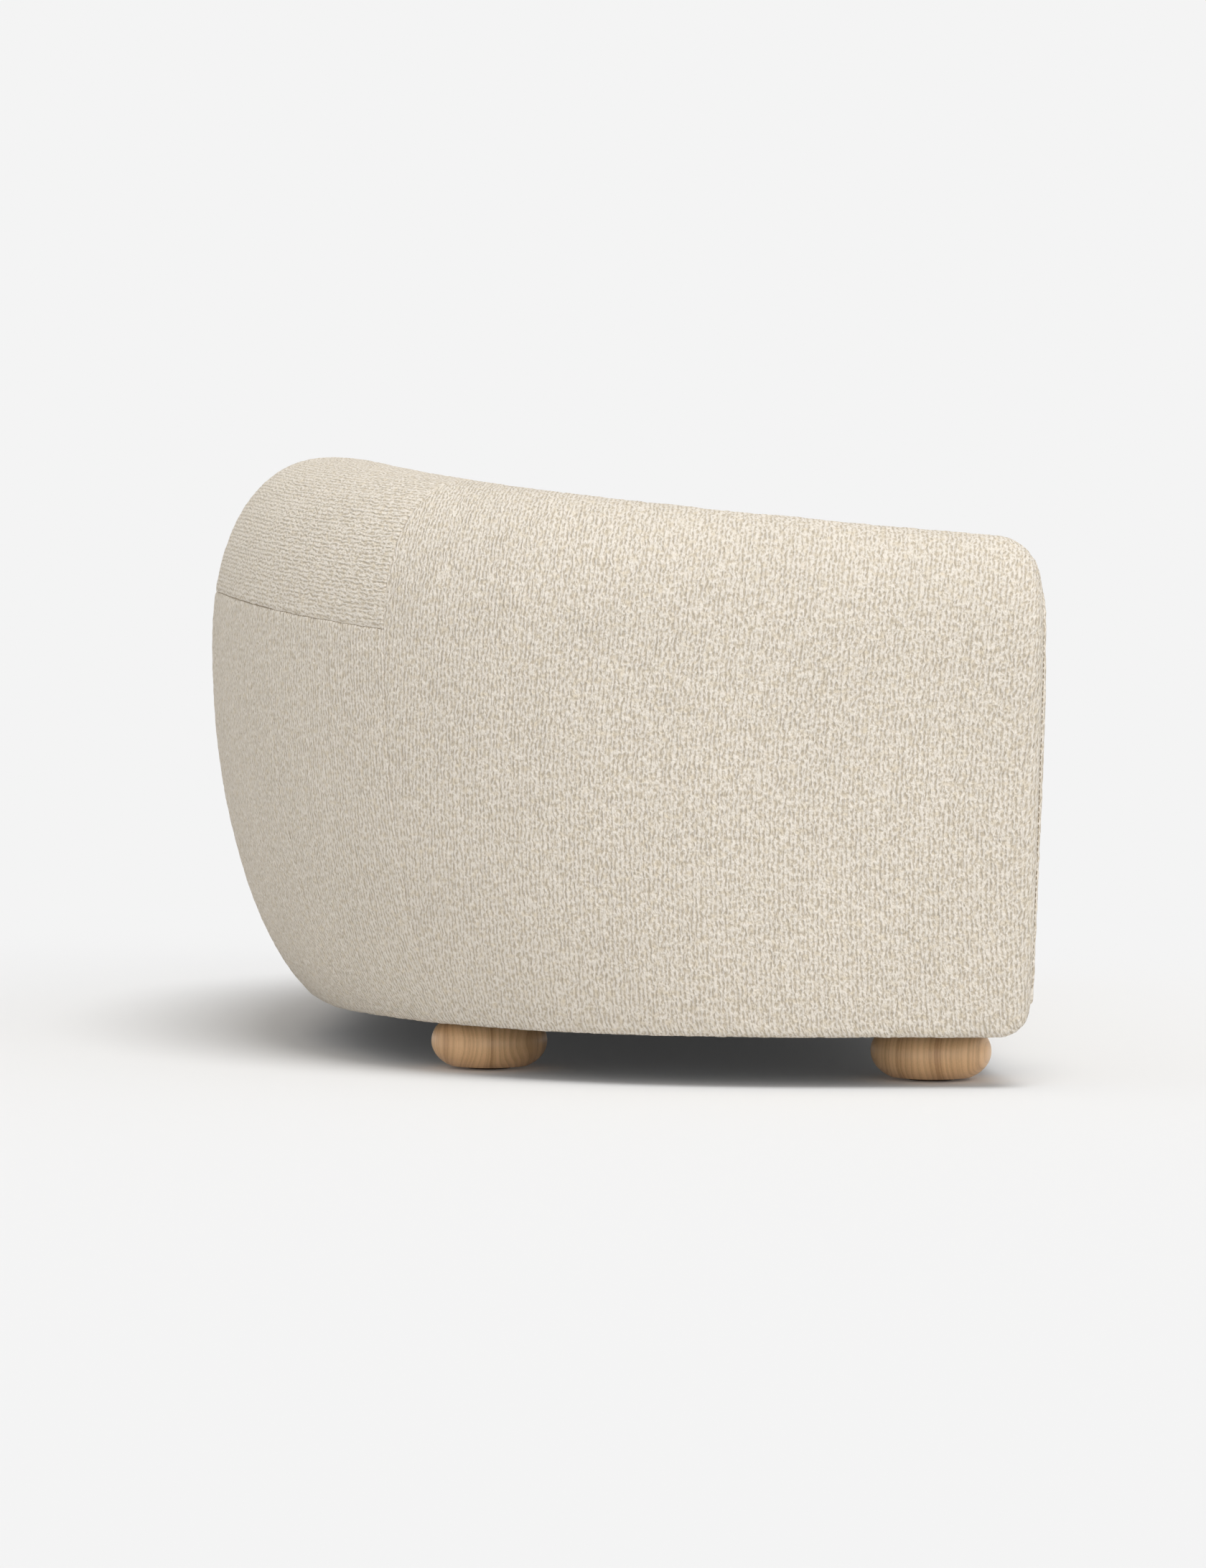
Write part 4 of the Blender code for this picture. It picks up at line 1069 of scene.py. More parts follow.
def spun_cloth(name, light, dark, pitch, depth, values):
    """Plain-woven or nonwoven cloth: crossing threads at a pitch, drawn no finer than shows.

    To the eye it is flat and even, with a fine check of threads and soft cloudy patches.
    """
    made, tree, shader = new_material(name, **values)
    spot = node(tree, "TexCoord").outputs["Object"]
    turn = 2 * math.pi / pitch
    grown = node(tree, "VectorMath", {0: spot, 1: (turn, turn, turn)}, operation="MULTIPLY").outputs[0]
    waves = node(tree, "VectorMath", {0: grown}, operation="SINE").outputs[0]
    parts = node(tree, "SeparateXYZ", {0: waves})
    both = node(
        tree, "Math", {0: parts.outputs["X"], 1: parts.outputs["Y"]}, operation="MULTIPLY"
    ).outputs[0]
    rising = {0: parts.outputs["Z"], 1: 0.3, 2: both}
    crossed = node(tree, "Math", rising, operation="MULTIPLY_ADD").outputs[0]
    cloud = node(tree, "TexNoise", {"Vector": spot, "Scale": 26.0, "Detail": 5.0, "Roughness": 0.6})
    height = node(
        tree, "Math", {0: cloud.outputs["Fac"], 1: 2.0, 2: crossed}, operation="MULTIPLY_ADD"
    ).outputs[0]
    amount = node(tree, "MapRange", {"Value": height, "From Min": 0.2, "From Max": 1.9}).outputs["Result"]
    colour = node(
        tree, "Mix", {0: amount, 6: (*linear(dark), 1), 7: (*linear(light), 1)}, data_type="RGBA"
    )
    bump = node(tree, "Bump", {"Height": crossed, "Distance": depth, "Strength": 0.7})
    tree.links.new(colour.outputs[2], shader.inputs["Base Color"])
    tree.links.new(bump.outputs["Normal"], shader.inputs["Normal"])
    return shown_colour(made, linear(light))


def cellular_foam():
    """Polyurethane foam cut with a band saw: matt, yellowish, with open cells.

    The cells are about 1 mm and are drawn at 3 mm.
    """
    made, tree, shader = new_material("cut_polyurethane_foam", Roughness=0.95, Specular_IOR_Level=0.1)
    spot = node(tree, "TexCoord").outputs["Object"]
    cells = node(tree, "TexVoronoi", {"Vector": spot, "Scale": 1 / 0.003})
    aged = node(tree, "TexNoise", {"Vector": spot, "Scale": 9.0, "Detail": 4.0})
    amount = node(
        tree, "Math", {0: cells.outputs["Distance"], 1: 0.5, 2: aged.outputs["Fac"]}, operation="MULTIPLY_ADD"
    )
    colour = node(
        tree,
        "Mix",
        {0: amount.outputs[0], 6: (*linear("#EFE6CB"), 1), 7: (*linear("#CDBD92"), 1)},
        data_type="RGBA",
    )
    bump = node(tree, "Bump", {"Height": cells.outputs["Distance"], "Distance": 0.0008, "Strength": 0.6})
    tree.links.new(colour.outputs[2], shader.inputs["Base Color"])
    tree.links.new(bump.outputs["Normal"], shader.inputs["Normal"])
    return shown_colour(made, linear("#E6DBBB"))


def plated_steel():
    """Steel wire and rod with bright zinc plating: grey, softly blotched, with rolled threads.

    The threads are 1.25 mm apart and are drawn at 2.5 mm.
    """
    made, tree, shader = new_material("zinc_plated_steel", Metallic=1.0)
    spot = node(tree, "TexCoord").outputs["Object"]
    spangle = node(tree, "TexNoise", {"Vector": spot, "Scale": 160.0, "Detail": 3.0})
    colour = node(
        tree,
        "Mix",
        {0: spangle.outputs["Fac"], 6: (*linear("#C9CCD0"), 1), 7: (*linear("#989DA3"), 1)},
        data_type="RGBA",
    )
    gloss = node(tree, "MapRange", {"Value": spangle.outputs["Fac"], "To Min": 0.26, "To Max": 0.46})
    height = node(tree, "SeparateXYZ", {0: spot}).outputs["Z"]
    turns = node(tree, "Math", {0: height, 1: 2 * math.pi / 0.0025}, operation="MULTIPLY").outputs[0]
    thread = node(tree, "Math", {0: turns}, operation="SINE").outputs[0]
    bump = node(tree, "Bump", {"Height": thread, "Distance": 0.0003, "Strength": 0.6})
    tree.links.new(colour.outputs[2], shader.inputs["Base Color"])
    tree.links.new(gloss.outputs["Result"], shader.inputs["Roughness"])
    tree.links.new(bump.outputs["Normal"], shader.inputs["Normal"])
    return shown_colour(made, linear("#B4B8BC"))


def paper_floor(settings):
    """Seamless studio paper, rolled out: matt and pale, fading into the backdrop's light."""
    made, tree, shader = new_material("matt_studio_paper", Roughness=1.0, Specular_IOR_Level=0.0)
    spot = node(tree, "TexCoord").outputs["Object"]
    tooth = node(tree, "TexNoise", {"Vector": spot, "Scale": 900.0, "Detail": 2.0})
    value = node(tree, "MapRange", {"Value": tooth.outputs["Fac"], "To Min": 0.995, "To Max": 1.005})
    tone = node(
        tree, "HueSaturation", {"Color": (*settings.floor, 1), "Value": value.outputs["Result"]}
    )
    tree.links.new(tone.outputs["Color"], shader.inputs["Base Color"])
    away = node(tree, "VectorMath", {0: spot}, operation="LENGTH").outputs["Value"]
    fade = node(
        tree,
        "MapRange",
        {"Value": away, "From Min": 1.9, "From Max": 4.5},
        interpolation_type="SMOOTHSTEP",
    ).outputs["Result"]
    glow = node(tree, "Emission", {"Color": (*settings.backdrop, 1), "Strength": 1.0})
    both = node(tree, "MixShader", {0: fade, 1: shader.outputs[0], 2: glow.outputs[0]})
    # A faint glow painted into the sheet lifts its deepest shadows so that they don't go black.
    shader.inputs["Emission Color"].default_value = (*settings.backdrop, 1)
    shader.inputs["Emission Strength"].default_value = 0.032
    output = next(n for n in tree.nodes if n.type == "OUTPUT_MATERIAL")
    tree.links.new(both.outputs[0], output.inputs["Surface"])
    return made


def finish(name, maker, *details):
    """The material of this name, made once."""
    kept = bpy.data.materials.get(name)
    return kept if kept else maker(*details)


def boucle():
    return finish("woven_wool_boucle", woven_boucle, bpy.context.scene.sofa_boucle)


def feet_wood():
    return finish("turned_oiled_wood", turned_ash, bpy.context.scene.sofa_wood)


def steel():
    return finish("zinc_plated_steel", plated_steel)


def foam():
    return finish("cut_polyurethane_foam", cellular_foam)


def woven(name, light, dark, pitch, depth, **values):
    return finish(name, spun_cloth, name, light, dark, pitch, depth, values)


def thread_material():
    """Spun polyester thread, waxed: matt with a slight twist, darker than the cloth."""
    settings = bpy.context.scene.sofa_seams
    kept = bpy.data.materials.get("spun_polyester_thread")
    if kept:
        return kept
    made, tree, shader = new_material("spun_polyester_thread", Roughness=0.6, Sheen_Weight=0.2)
    spot = node(tree, "TexCoord").outputs["Object"]
    twist = node(tree, "TexNoise", {"Vector": spot, "Scale": 700.0, "Detail": 2.0})
    darker = tuple(0.55 * share for share in settings.thread)
    colour = node(
        tree,
        "Mix",
        {0: twist.outputs["Fac"], 6: (*darker, 1), 7: (*settings.thread, 1)},
        data_type="RGBA",
    )
    tree.links.new(colour.outputs[2], shader.inputs["Base Color"])
    return shown_colour(made, settings.thread)


# ---------------------------------------------------------------- sewing and filling


def stitches(name, path, outward, settings, gap=0.0022, radius=0.00055):
    """A row of short thread bars lying in a seam, from points along it and their outward ways."""
    where = distances(path)
    pitch = settings.stitch + gap
    middles = np.arange(pitch / 2, where[-1] - pitch / 2, pitch)
    centre = points_on(path, middles)
    ahead = points_on(path, middles + 0.002) - points_on(path, middles - 0.002)
    ahead /= np.maximum(np.linalg.norm(ahead, axis=1), 1e-9)[:, None]
    out = np.stack([np.interp(middles, where, outward[:, k]) for k in range(3)], -1)
    out -= (out * ahead).sum(1)[:, None] * ahead
    out /= np.maximum(np.linalg.norm(out, axis=1), 1e-9)[:, None]
    across = np.cross(ahead, out)
    angle = np.linspace(0, 2 * math.pi, 6, endpoint=False)
    half = settings.stitch / 2
    rings = [(-half, 0.5, -0.7), (-half * 0.6, 1, 0), (half * 0.6, 1, 0), (half, 0.5, -0.7)]
    points = []
    for along, width, sink in rings:
        for a in angle:
            shift = ahead * along + across * (radius * width * math.cos(a))
            points.append(centre + shift + out * (radius * (width * math.sin(a) + sink)))
    points = np.stack(points, 1)
    single = grid_faces(4, 6, closed=True).tolist()
    single += [[5, 4, 3, 2, 1, 0], [18, 19, 20, 21, 22, 23]]
    faces = [[k + 24 * n for k in face] for n in range(len(middles)) for face in single]
    return add_piece(name, points, faces)


def wall_seam(alongs, spots, sunk):
    """Points along a seam in the wall, sunk below its surface, and their outward ways."""
    path, outward = [], []
    for along, spot in zip(alongs, spots):
        points = profile(along)
        top = to_world(along, at(points, [spot]))[0]
        deep = to_world(along, at(inset(points, 0.01), [spot]))[0]
        way = (top - deep) / np.linalg.norm(top - deep)
        path.append(top - way * sunk)
        outward.append(way)
    return np.array(path), np.array(outward)


def coordinates(mesh):
    found = np.zeros(len(mesh.vertices) * 3, np.float32)
    mesh.vertices.foreach_get("co", found)
    return found.reshape(-1, 3).astype(float)


def place_points(mesh, points):
    mesh.vertices.foreach_set("co", points.astype(np.float32).ravel())
    mesh.update()


def shaped_mesh(piece):
    """The piece's mesh with its modifiers applied, as its own data."""
    graph = bpy.context.evaluated_depsgraph_get()
    mesh = bpy.data.meshes.new_from_object(piece.evaluated_get(graph))
    piece.modifiers.clear()
    piece.data = mesh
    return mesh


def vertex_normals(mesh):
    found = np.zeros(len(mesh.vertices) * 3, np.float32)
    mesh.vertex_normals.foreach_get("vector", found)
    return found.reshape(-1, 3).astype(float)


def tree_of(points):
    tree = KDTree(len(points))
    for number, point in enumerate(points):
        tree.insert(point, number)
    tree.balance()
    return tree


def cushion_outline(side):
    """A cushion's plan, counter-clockwise. The left one is the right one mirrored."""
    front = FRONT_Y + APRON_SETBACK + CUSHION_SETBACK
    inner = CUSHION_CENTRE_GAP / 2
    wall = wall_outline(CUSHION_GAP, front)
    wall = wall[wall[:, 0] > 0]
    wall = wall[np.argsort(wall[:, 1], kind="stable")]
    front += TO_FRAME_Y
    radius = CUSHION_CORNER
    outer, rear = wall[0, 0], wall[-1, 1]
    clear = 1.5 * radius
    corners = (
        ((inner + radius, front + radius), 180),
        ((outer - radius, front + radius), 270),
        None,
        ((inner + radius, rear - radius), 90),
    )
    points = []
    for corner in corners:
        if corner is None:
            kept = wall[(wall[:, 1] > front + clear) & (wall[:, 0] > inner + clear)]
            points += [tuple(point) for point in kept]
            continue
        (x, y), start = corner
        for turn in np.radians(start + np.linspace(0, 90, 9)):
            points.append((x + radius * math.cos(turn), y + radius * math.sin(turn)))
    outline = even_outline(np.array(points), 300)
    return outline if side == "right" else outline[::-1] * np.array([-1, 1])


def edge_line(outline, margin, edge, low, high):
    """Where a cushion's top or bottom panel is sewn to its side, on the rounded edge."""
    ring = inward(outline, margin + edge * 0.3)
    height = low if low is not None else high
    return np.column_stack([ring, np.full(len(ring), height)])


def held_in(points, outline, ease):
    """Points kept inside a plan outline, give or take an ease."""
    ahead = np.roll(outline, -1, 0) - np.roll(outline, 1, 0)
    ahead /= np.linalg.norm(ahead, axis=1)[:, None]
    normal = np.stack([ahead[:, 1], -ahead[:, 0]], 1)
    tree = tree_of(np.column_stack([outline, np.zeros(len(outline))]))
    held = points.copy()
    for number, point in enumerate(points):
        nearest = tree.find((point[0], point[1], 0))[1]
        over = float((point[:2] - outline[nearest]) @ normal[nearest]) - ease
        if over > 0:
            held[number, :2] -= normal[nearest] * over
    return held


def swollen(piece, settings, outline):
    """Lets the filling push the cushion's cloth out, as far as its neighbours leave room."""
    scene = bpy.context.scene
    grid = piece.modifiers.new("Grid", "REMESH")
    grid.mode = "VOXEL"
    grid.voxel_size = settings.voxel
    mesh = shaped_mesh(piece)
    start, outward = coordinates(mesh), vertex_normals(mesh)
    filling = piece.modifiers.new("Filling", "CLOTH")
    filling.settings.use_pressure = True
    filling.settings.uniform_pressure_force = settings.pressure
    filling.settings.effector_weights.gravity = 0
    filling.settings.tension_stiffness = 12
    filling.settings.compression_stiffness = 8
    filling.settings.bending_stiffness = 0.8
    filling.collision_settings.use_collision = False
    filling.point_cache.frame_end = settings.steps
    for step in range(1, settings.steps + 1):
        scene.frame_set(step)
    graph = bpy.context.evaluated_depsgraph_get()
    blown = coordinates(piece.evaluated_get(graph).data)
    piece.modifiers.clear()
    scene.frame_set(1)
    moved = blown - start
    # The foam inside stops the cover from moving in.
    inwards = np.minimum((moved * outward).sum(1) + 0.001, 0)
    moved -= outward * inwards[:, None]
    far = np.linalg.norm(moved, axis=1)[:, None]
    moved *= settings.swell * np.tanh(far / settings.swell) / np.maximum(far, 1e-9)
    place_points(mesh, start + moved)
    finer = piece.modifiers.new("Finer", "SUBSURF")
    finer.levels = 1
    finer.render_levels = 1
    mesh = shaped_mesh(piece)
    points = held_in(coordinates(mesh), outline, 0.0012)
    points[:, 2] = np.clip(points[:, 2], DECK_HEIGHT + 0.0012, SEAT_HEIGHT + 0.006)
    place_points(mesh, points)
    return mesh


def sew_cushion(mesh, lines, seams):
    """Draws the cushion in along its seams and raises its loops. Returns the seams' own paths."""
    points, normal = coordinates(mesh), vertex_normals(mesh)
    surface = BVHTree.FromPolygons(points.tolist(), [tuple(p.vertices) for p in mesh.polygons])
    paths, depth = [], np.zeros(len(points))
    for line in lines:
        path = np.array([surface.find_nearest(point)[0] for point in line])
        for _ in range(6):
            path = (np.roll(path, 1, 0) + 2 * path + np.roll(path, -1, 0)) / 4
        path = np.array([surface.find_nearest(point)[0] for point in path])
        paths.append(path)
        run = distances(np.concatenate([path, path[:1]]))
        closed = np.concatenate([path, path[:1]])
        dense = points_on(closed, np.linspace(0, run[-1], 2200))
        where = np.linspace(0, run[-1], 2200)
        tree = tree_of(dense)
        near = [tree.find(point) for point in points]
        distance = np.array([found[2] for found in near])
        along = where[[found[1] for found in near]]
        draw = lattice_noise(np.stack([along, along * 0], -1) / 0.012, 31)
        depth -= 1.1 * seams.depth * np.exp(-((distance / 0.0052) ** 2))
        depth += 1.3 * seams.pucker * draw * np.exp(-distance / 0.012)
    depth += 0.00055 * lattice_noise(points / 0.0085, 9) + 0.0010 * lattice_noise(points / 0.11, 4)
    place_points(mesh, points + normal * depth[:, None])
    return paths


def map_cushion(mesh, outline):
    """Cloth places for a cushion: laid flat on its top and bottom, and wound round its side."""
    points = coordinates(mesh)
    closed = np.concatenate([outline, outline[:1]])
    run = distances(closed)
    tree = tree_of(np.column_stack([outline, np.zeros(len(outline))]))
    around = np.array([run[tree.find((x, y, 0))[1]] for x, y, _ in points])
    layer = mesh.uv_layers.new(name=CLOTH_MAP)
    normal = np.zeros(len(mesh.polygons) * 3, np.float32)
    mesh.polygons.foreach_get("normal", normal)
    flat = np.abs(normal.reshape(-1, 3)[:, 2]) > 0.7
    counts = np.zeros(len(mesh.polygons), np.int32)
    mesh.polygons.foreach_get("loop_total", counts)
    corner_flat = np.repeat(flat, counts)
    corners = np.zeros(len(mesh.loops), np.int32)
    mesh.loops.foreach_get("vertex_index", corners)
    own = points[corners]
    side = np.stack([around[corners], own[:, 2]], 1)
    places = np.where(corner_flat[:, None], own[:, :2], side)
    layer.data.foreach_set("uv", places.astype(np.float32).ravel())


# ---------------------------------------------------------------- pieces


BODY = "sofa"


class SOFA_OT_cover_arms(bpy.types.Operator):
    """Pulls the boucle over the arms, outside and inside, and closes their fronts"""

    bl_idname = "sofa.cover_arms"
    bl_label = "Cover the Arms"

    def execute(self, context):
        seams = context.scene.sofa_seams
        for side in ("left", "right"):
            self.cover_side(side, seams)
            self.make_facing(side, seams)
        return {"FINISHED"}

    def cover_side(self, side, seams):
        for spot, line, step, low in (
            ("outside", outer_arm_line, FINE_STEP, False),
            ("inside", inner_line, INNER_STEP, True),
        ):
            alongs = arm_stations(step)
            alongs = alongs if side == "left" else mirrored(alongs)
            grid = wall_cloth(alongs, line, step, low, spot == "outside")
            ends = (seams.depth, seams.soft_depth)
            ends = ends if side == "left" else ends[::-1]
            depths = (*ends, seams.depth if low else 0, 0 if low else seams.depth)
            piece = cloth_piece(f"boucle_{spot}_arm_{side}", grid, seams, depths)
            node_name = f"{spot}_arm_cover_{side}"
            dress(piece, boucle(), BODY, "boucle", node_name)

    def make_facing(self, side, seams):
        """A crowned, padded panel, and the strip that carries it back under the arm."""
        along = 0.0 if side == "left" else LENGTH
        line = wall_line(along, FOOT_LINE, INNER_FOOT)
        flat = to_world(along, line)[:, [0, 2]]
        outline = even_outline(flat, 420)
        centre = (outline.max(0) + outline.min(0)) / 2
        reach = np.linalg.norm(outline - centre, axis=1).mean()
        shares = 1 - graded(reach, int(reach / FINE_STEP), True, False)[:-1] / reach
        rings = disc_grid(outline, centre, shares)
        x, z = rings[..., 0], rings[..., 1]
        share = np.broadcast_to(shares[:, None], x.shape)
        from_edge = (1 - share) * np.linalg.norm(outline - centre, axis=1)[None]
        crown = FACING_CROWN * (1 - share**4) + FABRIC * share**8
        relief = nap(rings) + 0.6 * settled(np.stack([x, x * 0, z], -1))
        run = np.linalg.norm(np.diff(np.concatenate([outline, outline[:1]]), axis=0), axis=1)
        run = np.broadcast_to(np.append(0, np.cumsum(run))[:-1][None], x.shape)
        draw = lattice_noise(np.stack([run, run * 0], -1) / 0.009, 41)
        relief += seams.pucker * draw * np.exp(-from_edge / 0.008)
        sunk = roll(from_edge, seams.width, seams.depth + FABRIC)
        front = FRONT_Y + TO_FRAME_Y - lean_at(along, z)
        y = front - crown - relief * np.minimum(1, from_edge / 0.004) + sunk
        grid = np.stack([x, y, z], -1)
        tucked = grid[:1] + np.array([0, TUCK, 0])
        grid = np.concatenate([tucked, grid])
        cloth = np.concatenate([rings[:1], rings])
        count = grid.shape[1]
        faces = grid_faces(len(grid), count, closed=True).tolist()
        faces = [face[::-1] for face in faces]
        last = (len(grid) - 1) * count
        middle = grid.shape[0] * count
        centre_y = FRONT_Y + TO_FRAME_Y - float(lean_at(along, centre[1])) - FACING_CROWN
        points = np.concatenate([grid.reshape(-1, 3), [[centre[0], centre_y, centre[1]]]])
        places = np.concatenate([cloth.reshape(-1, 2), [centre]])
        faces += [[last + (k + 1) % count, last + k, middle] for k in range(count)]
        strip = self.facing_return(along)
        parts = [(points, faces, places), strip]
        piece = joined(f"boucle_arm_facing_{side}", parts)
        self.face_outwards(piece)
        dress(piece, boucle(), BODY, "boucle", f"arm_facing_{side}")

    def facing_return(self, along):
        """Cloth carried round the lower front corner of the arm and back beneath it."""
        turn = np.linspace(0, math.pi / 2, 12)
        near = BOTTOM_CORNER * (1 - np.cos(turn))
        rows = []
        for distance in np.append(near, BOTTOM_CORNER + 0.012):
            where = distance if along == 0 else LENGTH - distance
            outer, low = profile(where)[0]
            across = np.linspace(outer - 0.006, -DECK_INSET[0] + 0.001, 42)
            section = np.stack([across, np.full(42, low + 0.0009)], 1)
            rows.append(to_world(where, section))
        grid = np.array(rows)
        cloth = cloth_places(grid)
        grid[..., 2] += 0.0005 * lattice_noise(cloth / 0.007, 8)
        return grid, grid_faces(*grid.shape[:2]).tolist(), cloth

    def face_outwards(self, piece):
        made = bmesh.new()
        made.from_mesh(piece.data)
        made.normal_update()
        wrong = [f for f in made.faces if f.normal.y > 0.02 or f.normal.z > 0.9]
        bmesh.ops.reverse_faces(made, faces=wrong)
        made.to_mesh(piece.data)
        made.free()


class SOFA_OT_cover_back(bpy.types.Operator):
    """Pulls the boucle round the back: the lower panels, the band over the top, the inside"""

    bl_idname = "sofa.cover_back"
    bl_label = "Cover the Back"

    def execute(self, context):
        seams = context.scene.sofa_seams
        corner = stretch(SIDE_SEAM, BACK_SEAM, FINE_STEP)
        lower = {
            "left": (corner, (seams.soft_depth, seams.depth)),
            "center": (stretch(BACK_SEAM, LENGTH - BACK_SEAM, FINE_STEP), (seams.depth, seams.depth)),
            "right": (mirrored(corner), (seams.depth, seams.soft_depth)),
        }
        for name, (alongs, ends) in lower.items():
            grid = wall_cloth(alongs, lower_back_line, FINE_STEP, False, True)
            depths = (*ends, 0, seams.depth)
            piece = cloth_piece(f"boucle_outside_back_{name}", grid, seams, depths)
            dress(piece, boucle(), BODY, "boucle", f"outside_back_cover_{name}")
        whole = stretch(SIDE_SEAM, LENGTH - SIDE_SEAM, INNER_STEP)
        ends = (seams.soft_depth, seams.soft_depth)
        band = wall_cloth(whole, band_line, FINE_STEP, True, True)
        depths = (*ends, seams.depth, seams.depth)
        piece = cloth_piece("boucle_back_top_band", band, seams, depths, railroaded=True)
        dress(piece, boucle(), BODY, "boucle", "back_top_band_cover")
        inside = wall_cloth(whole, inner_line, INNER_STEP, True, False)
        depths = (*ends, seams.depth, 0)
        piece = cloth_piece("boucle_inside_back", inside, seams, depths)
        dress(piece, boucle(), BODY, "boucle", "inside_back_cover")
        return {"FINISHED"}


class SOFA_OT_cover_base(bpy.types.Operator):
    """Adds the apron under the seat, the deck's lining, and the stapled cloth underneath"""

    bl_idname = "sofa.cover_base"
    bl_label = "Cover the Base"

    def execute(self, context):
        self.make_apron(context.scene.sofa_seams)
        self.make_deck_cloth()
        self.make_dust_cover()
        return {"FINISHED"}

    def make_apron(self, seams):
        reach = HALF_WIDTH - DECK_INSET[0] - 0.001
        front = FRONT_Y + APRON_SETBACK + TO_FRAME_Y
        rounding = APRON_ROUNDING
        low = [(front + 0.045, UNDERSIDE_HEIGHT + 0.0015), (front + 0.007, UNDERSIDE_HEIGHT)]
        for turn in np.linspace(0, math.pi / 2, 7)[1:]:
            y = front + 0.007 - 0.007 * math.sin(turn)
            low.append((y, UNDERSIDE_HEIGHT + 0.007 * (1 - math.cos(turn))))
        high = []
        for turn in np.linspace(0, math.pi / 2, 12):
            y = front + rounding * (1 - math.cos(turn))
            high.append((y, DECK_HEIGHT - rounding * (1 - math.sin(turn))))
        high.append((front + APRON_TOP_RUN, DECK_HEIGHT))
        line = np.array(low + high)
        rise = graded(distances(line)[-1], int(distances(line)[-1] / INNER_STEP), False, False)
        section = points_on(line, rise)
        across = graded(2 * reach, int(2 * reach / INNER_STEP), True, True) - reach
        grid = np.zeros((len(across), len(section), 3))
        grid[..., 0] = across[:, None]
        grid[..., 1:] = section[None]
        shaped, cloth = sewn(grid[::-1], seams, (seams.soft_depth, seams.soft_depth, 0, 0))
        shaped[..., 2] = np.minimum(shaped[..., 2], DECK_HEIGHT + 0.0004)
        faces = grid_faces(*shaped.shape[:2]).tolist()
        piece = add_piece("boucle_front_apron", shaped, [face[::-1] for face in faces], cloth)
        dress(piece, boucle(), BODY, "boucle", "front_apron_cover")

    def flat_sheet(self, name, outline, hole, height, sag, seed, over):
        """A flat sheet in the outline, with a round hole where it passes the centre leg."""
        outline = even_outline(outline, 360)
        low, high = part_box("center_leg")
        middle = np.array([(low.x + high.x) / 2, (low.y + high.y) / 2])
        away = outline - middle
        way = away / np.linalg.norm(away, axis=1)[:, None]
        shares = np.linspace(1, 0, 70) if hole else np.linspace(1, 0, 71)[:-1]
        rim = middle + way * hole
        rings = np.array([rim + (outline - rim) * share for share in shares])
        slow = lattice_noise(rings / 0.17, seed) + 0.5 * lattice_noise(rings / 0.06, seed + 1)
        span = 1 - np.abs(np.linspace(-1, 1, len(shares)))[:, None] ** 6
        height = height - sag * span * np.abs(slow)
        points = np.concatenate([rings, height[..., None]], -1)
        faces = grid_faces(*rings.shape[:2], closed=True).tolist()
        if not hole:
            count, last = rings.shape[1], (len(rings) - 1) * rings.shape[1]
            faces.append([last + k for k in range(count)])
        faces = faces if over else [face[::-1] for face in faces]
        piece = add_piece(name, points, faces, rings)
        low, high = outline.min(0), outline.max(0)
        area = self.outline_area(outline) - math.pi * hole**2
        return piece, (float(high[0] - low[0]), float(high[1] - low[1])), area, outline

    def outline_area(self, outline):
        ahead = np.roll(outline, -1, 0)
        return abs(float((outline[:, 0] * ahead[:, 1] - ahead[:, 0] * outline[:, 1]).sum())) / 2

    def make_deck_cloth(self):
        front = FRONT_Y + APRON_TOP_RUN + APRON_SETBACK + 0.001
        outline = wall_outline(FABRIC + 0.0005, front)
        piece, flat, area, _ = self.flat_sheet("deck_lining", outline, 0, DECK_HEIGHT, 0.0016, 12, True)
        lining = woven("woven_cotton_lining", "#D6CCBA", "#B9AE99", 0.0020, 0.0004, Roughness=0.9)
        dress(piece, lining, BODY, "lining", "deck_cloth")

    def make_dust_cover(self):
        outline = edge_outline(0.013, FRONT_Y + 0.030)
        low = UNDERSIDE_HEIGHT + 0.0009
        leg_low, leg_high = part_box("center_leg")
        hole = (leg_high.x - leg_low.x) / 2 + 0.0008
        piece, flat, area, edge = self.flat_sheet("underside_cloth", outline, hole, low, 0.0006, 14, False)
        cloth = woven("spunbond_dust_cloth", "#2A2A2B", "#141415", 0.0030, 0.0004, Roughness=0.85)
        dress(piece, cloth, BODY, "dust_cloth", "dust_cover")
        self.add_staples(inward(edge, 0.006), low - 0.0004)

    def add_staples(self, line, height):
        """Staples along the cloth's edge, each a wire bent down at both ends."""
        closed = np.concatenate([line, line[:1]])
        total = distances(closed)[-1]
        parts = []
        for middle in np.arange(0.02, total - 0.02, 0.048):
            where = middle + np.array([-0.0052, -0.0050, -0.004, 0, 0.004, 0.0050, 0.0052])
            flat = points_on(closed, where)
            rise = np.array([0.0016, 0.0006, 0, 0, 0, 0.0006, 0.0016]) + height
            parts.append(tube(np.column_stack([flat, rise]), 0.00035, 6))
        piece = joined("dust_cover_staples", parts)
        dress(piece, steel(), BODY, "steel")


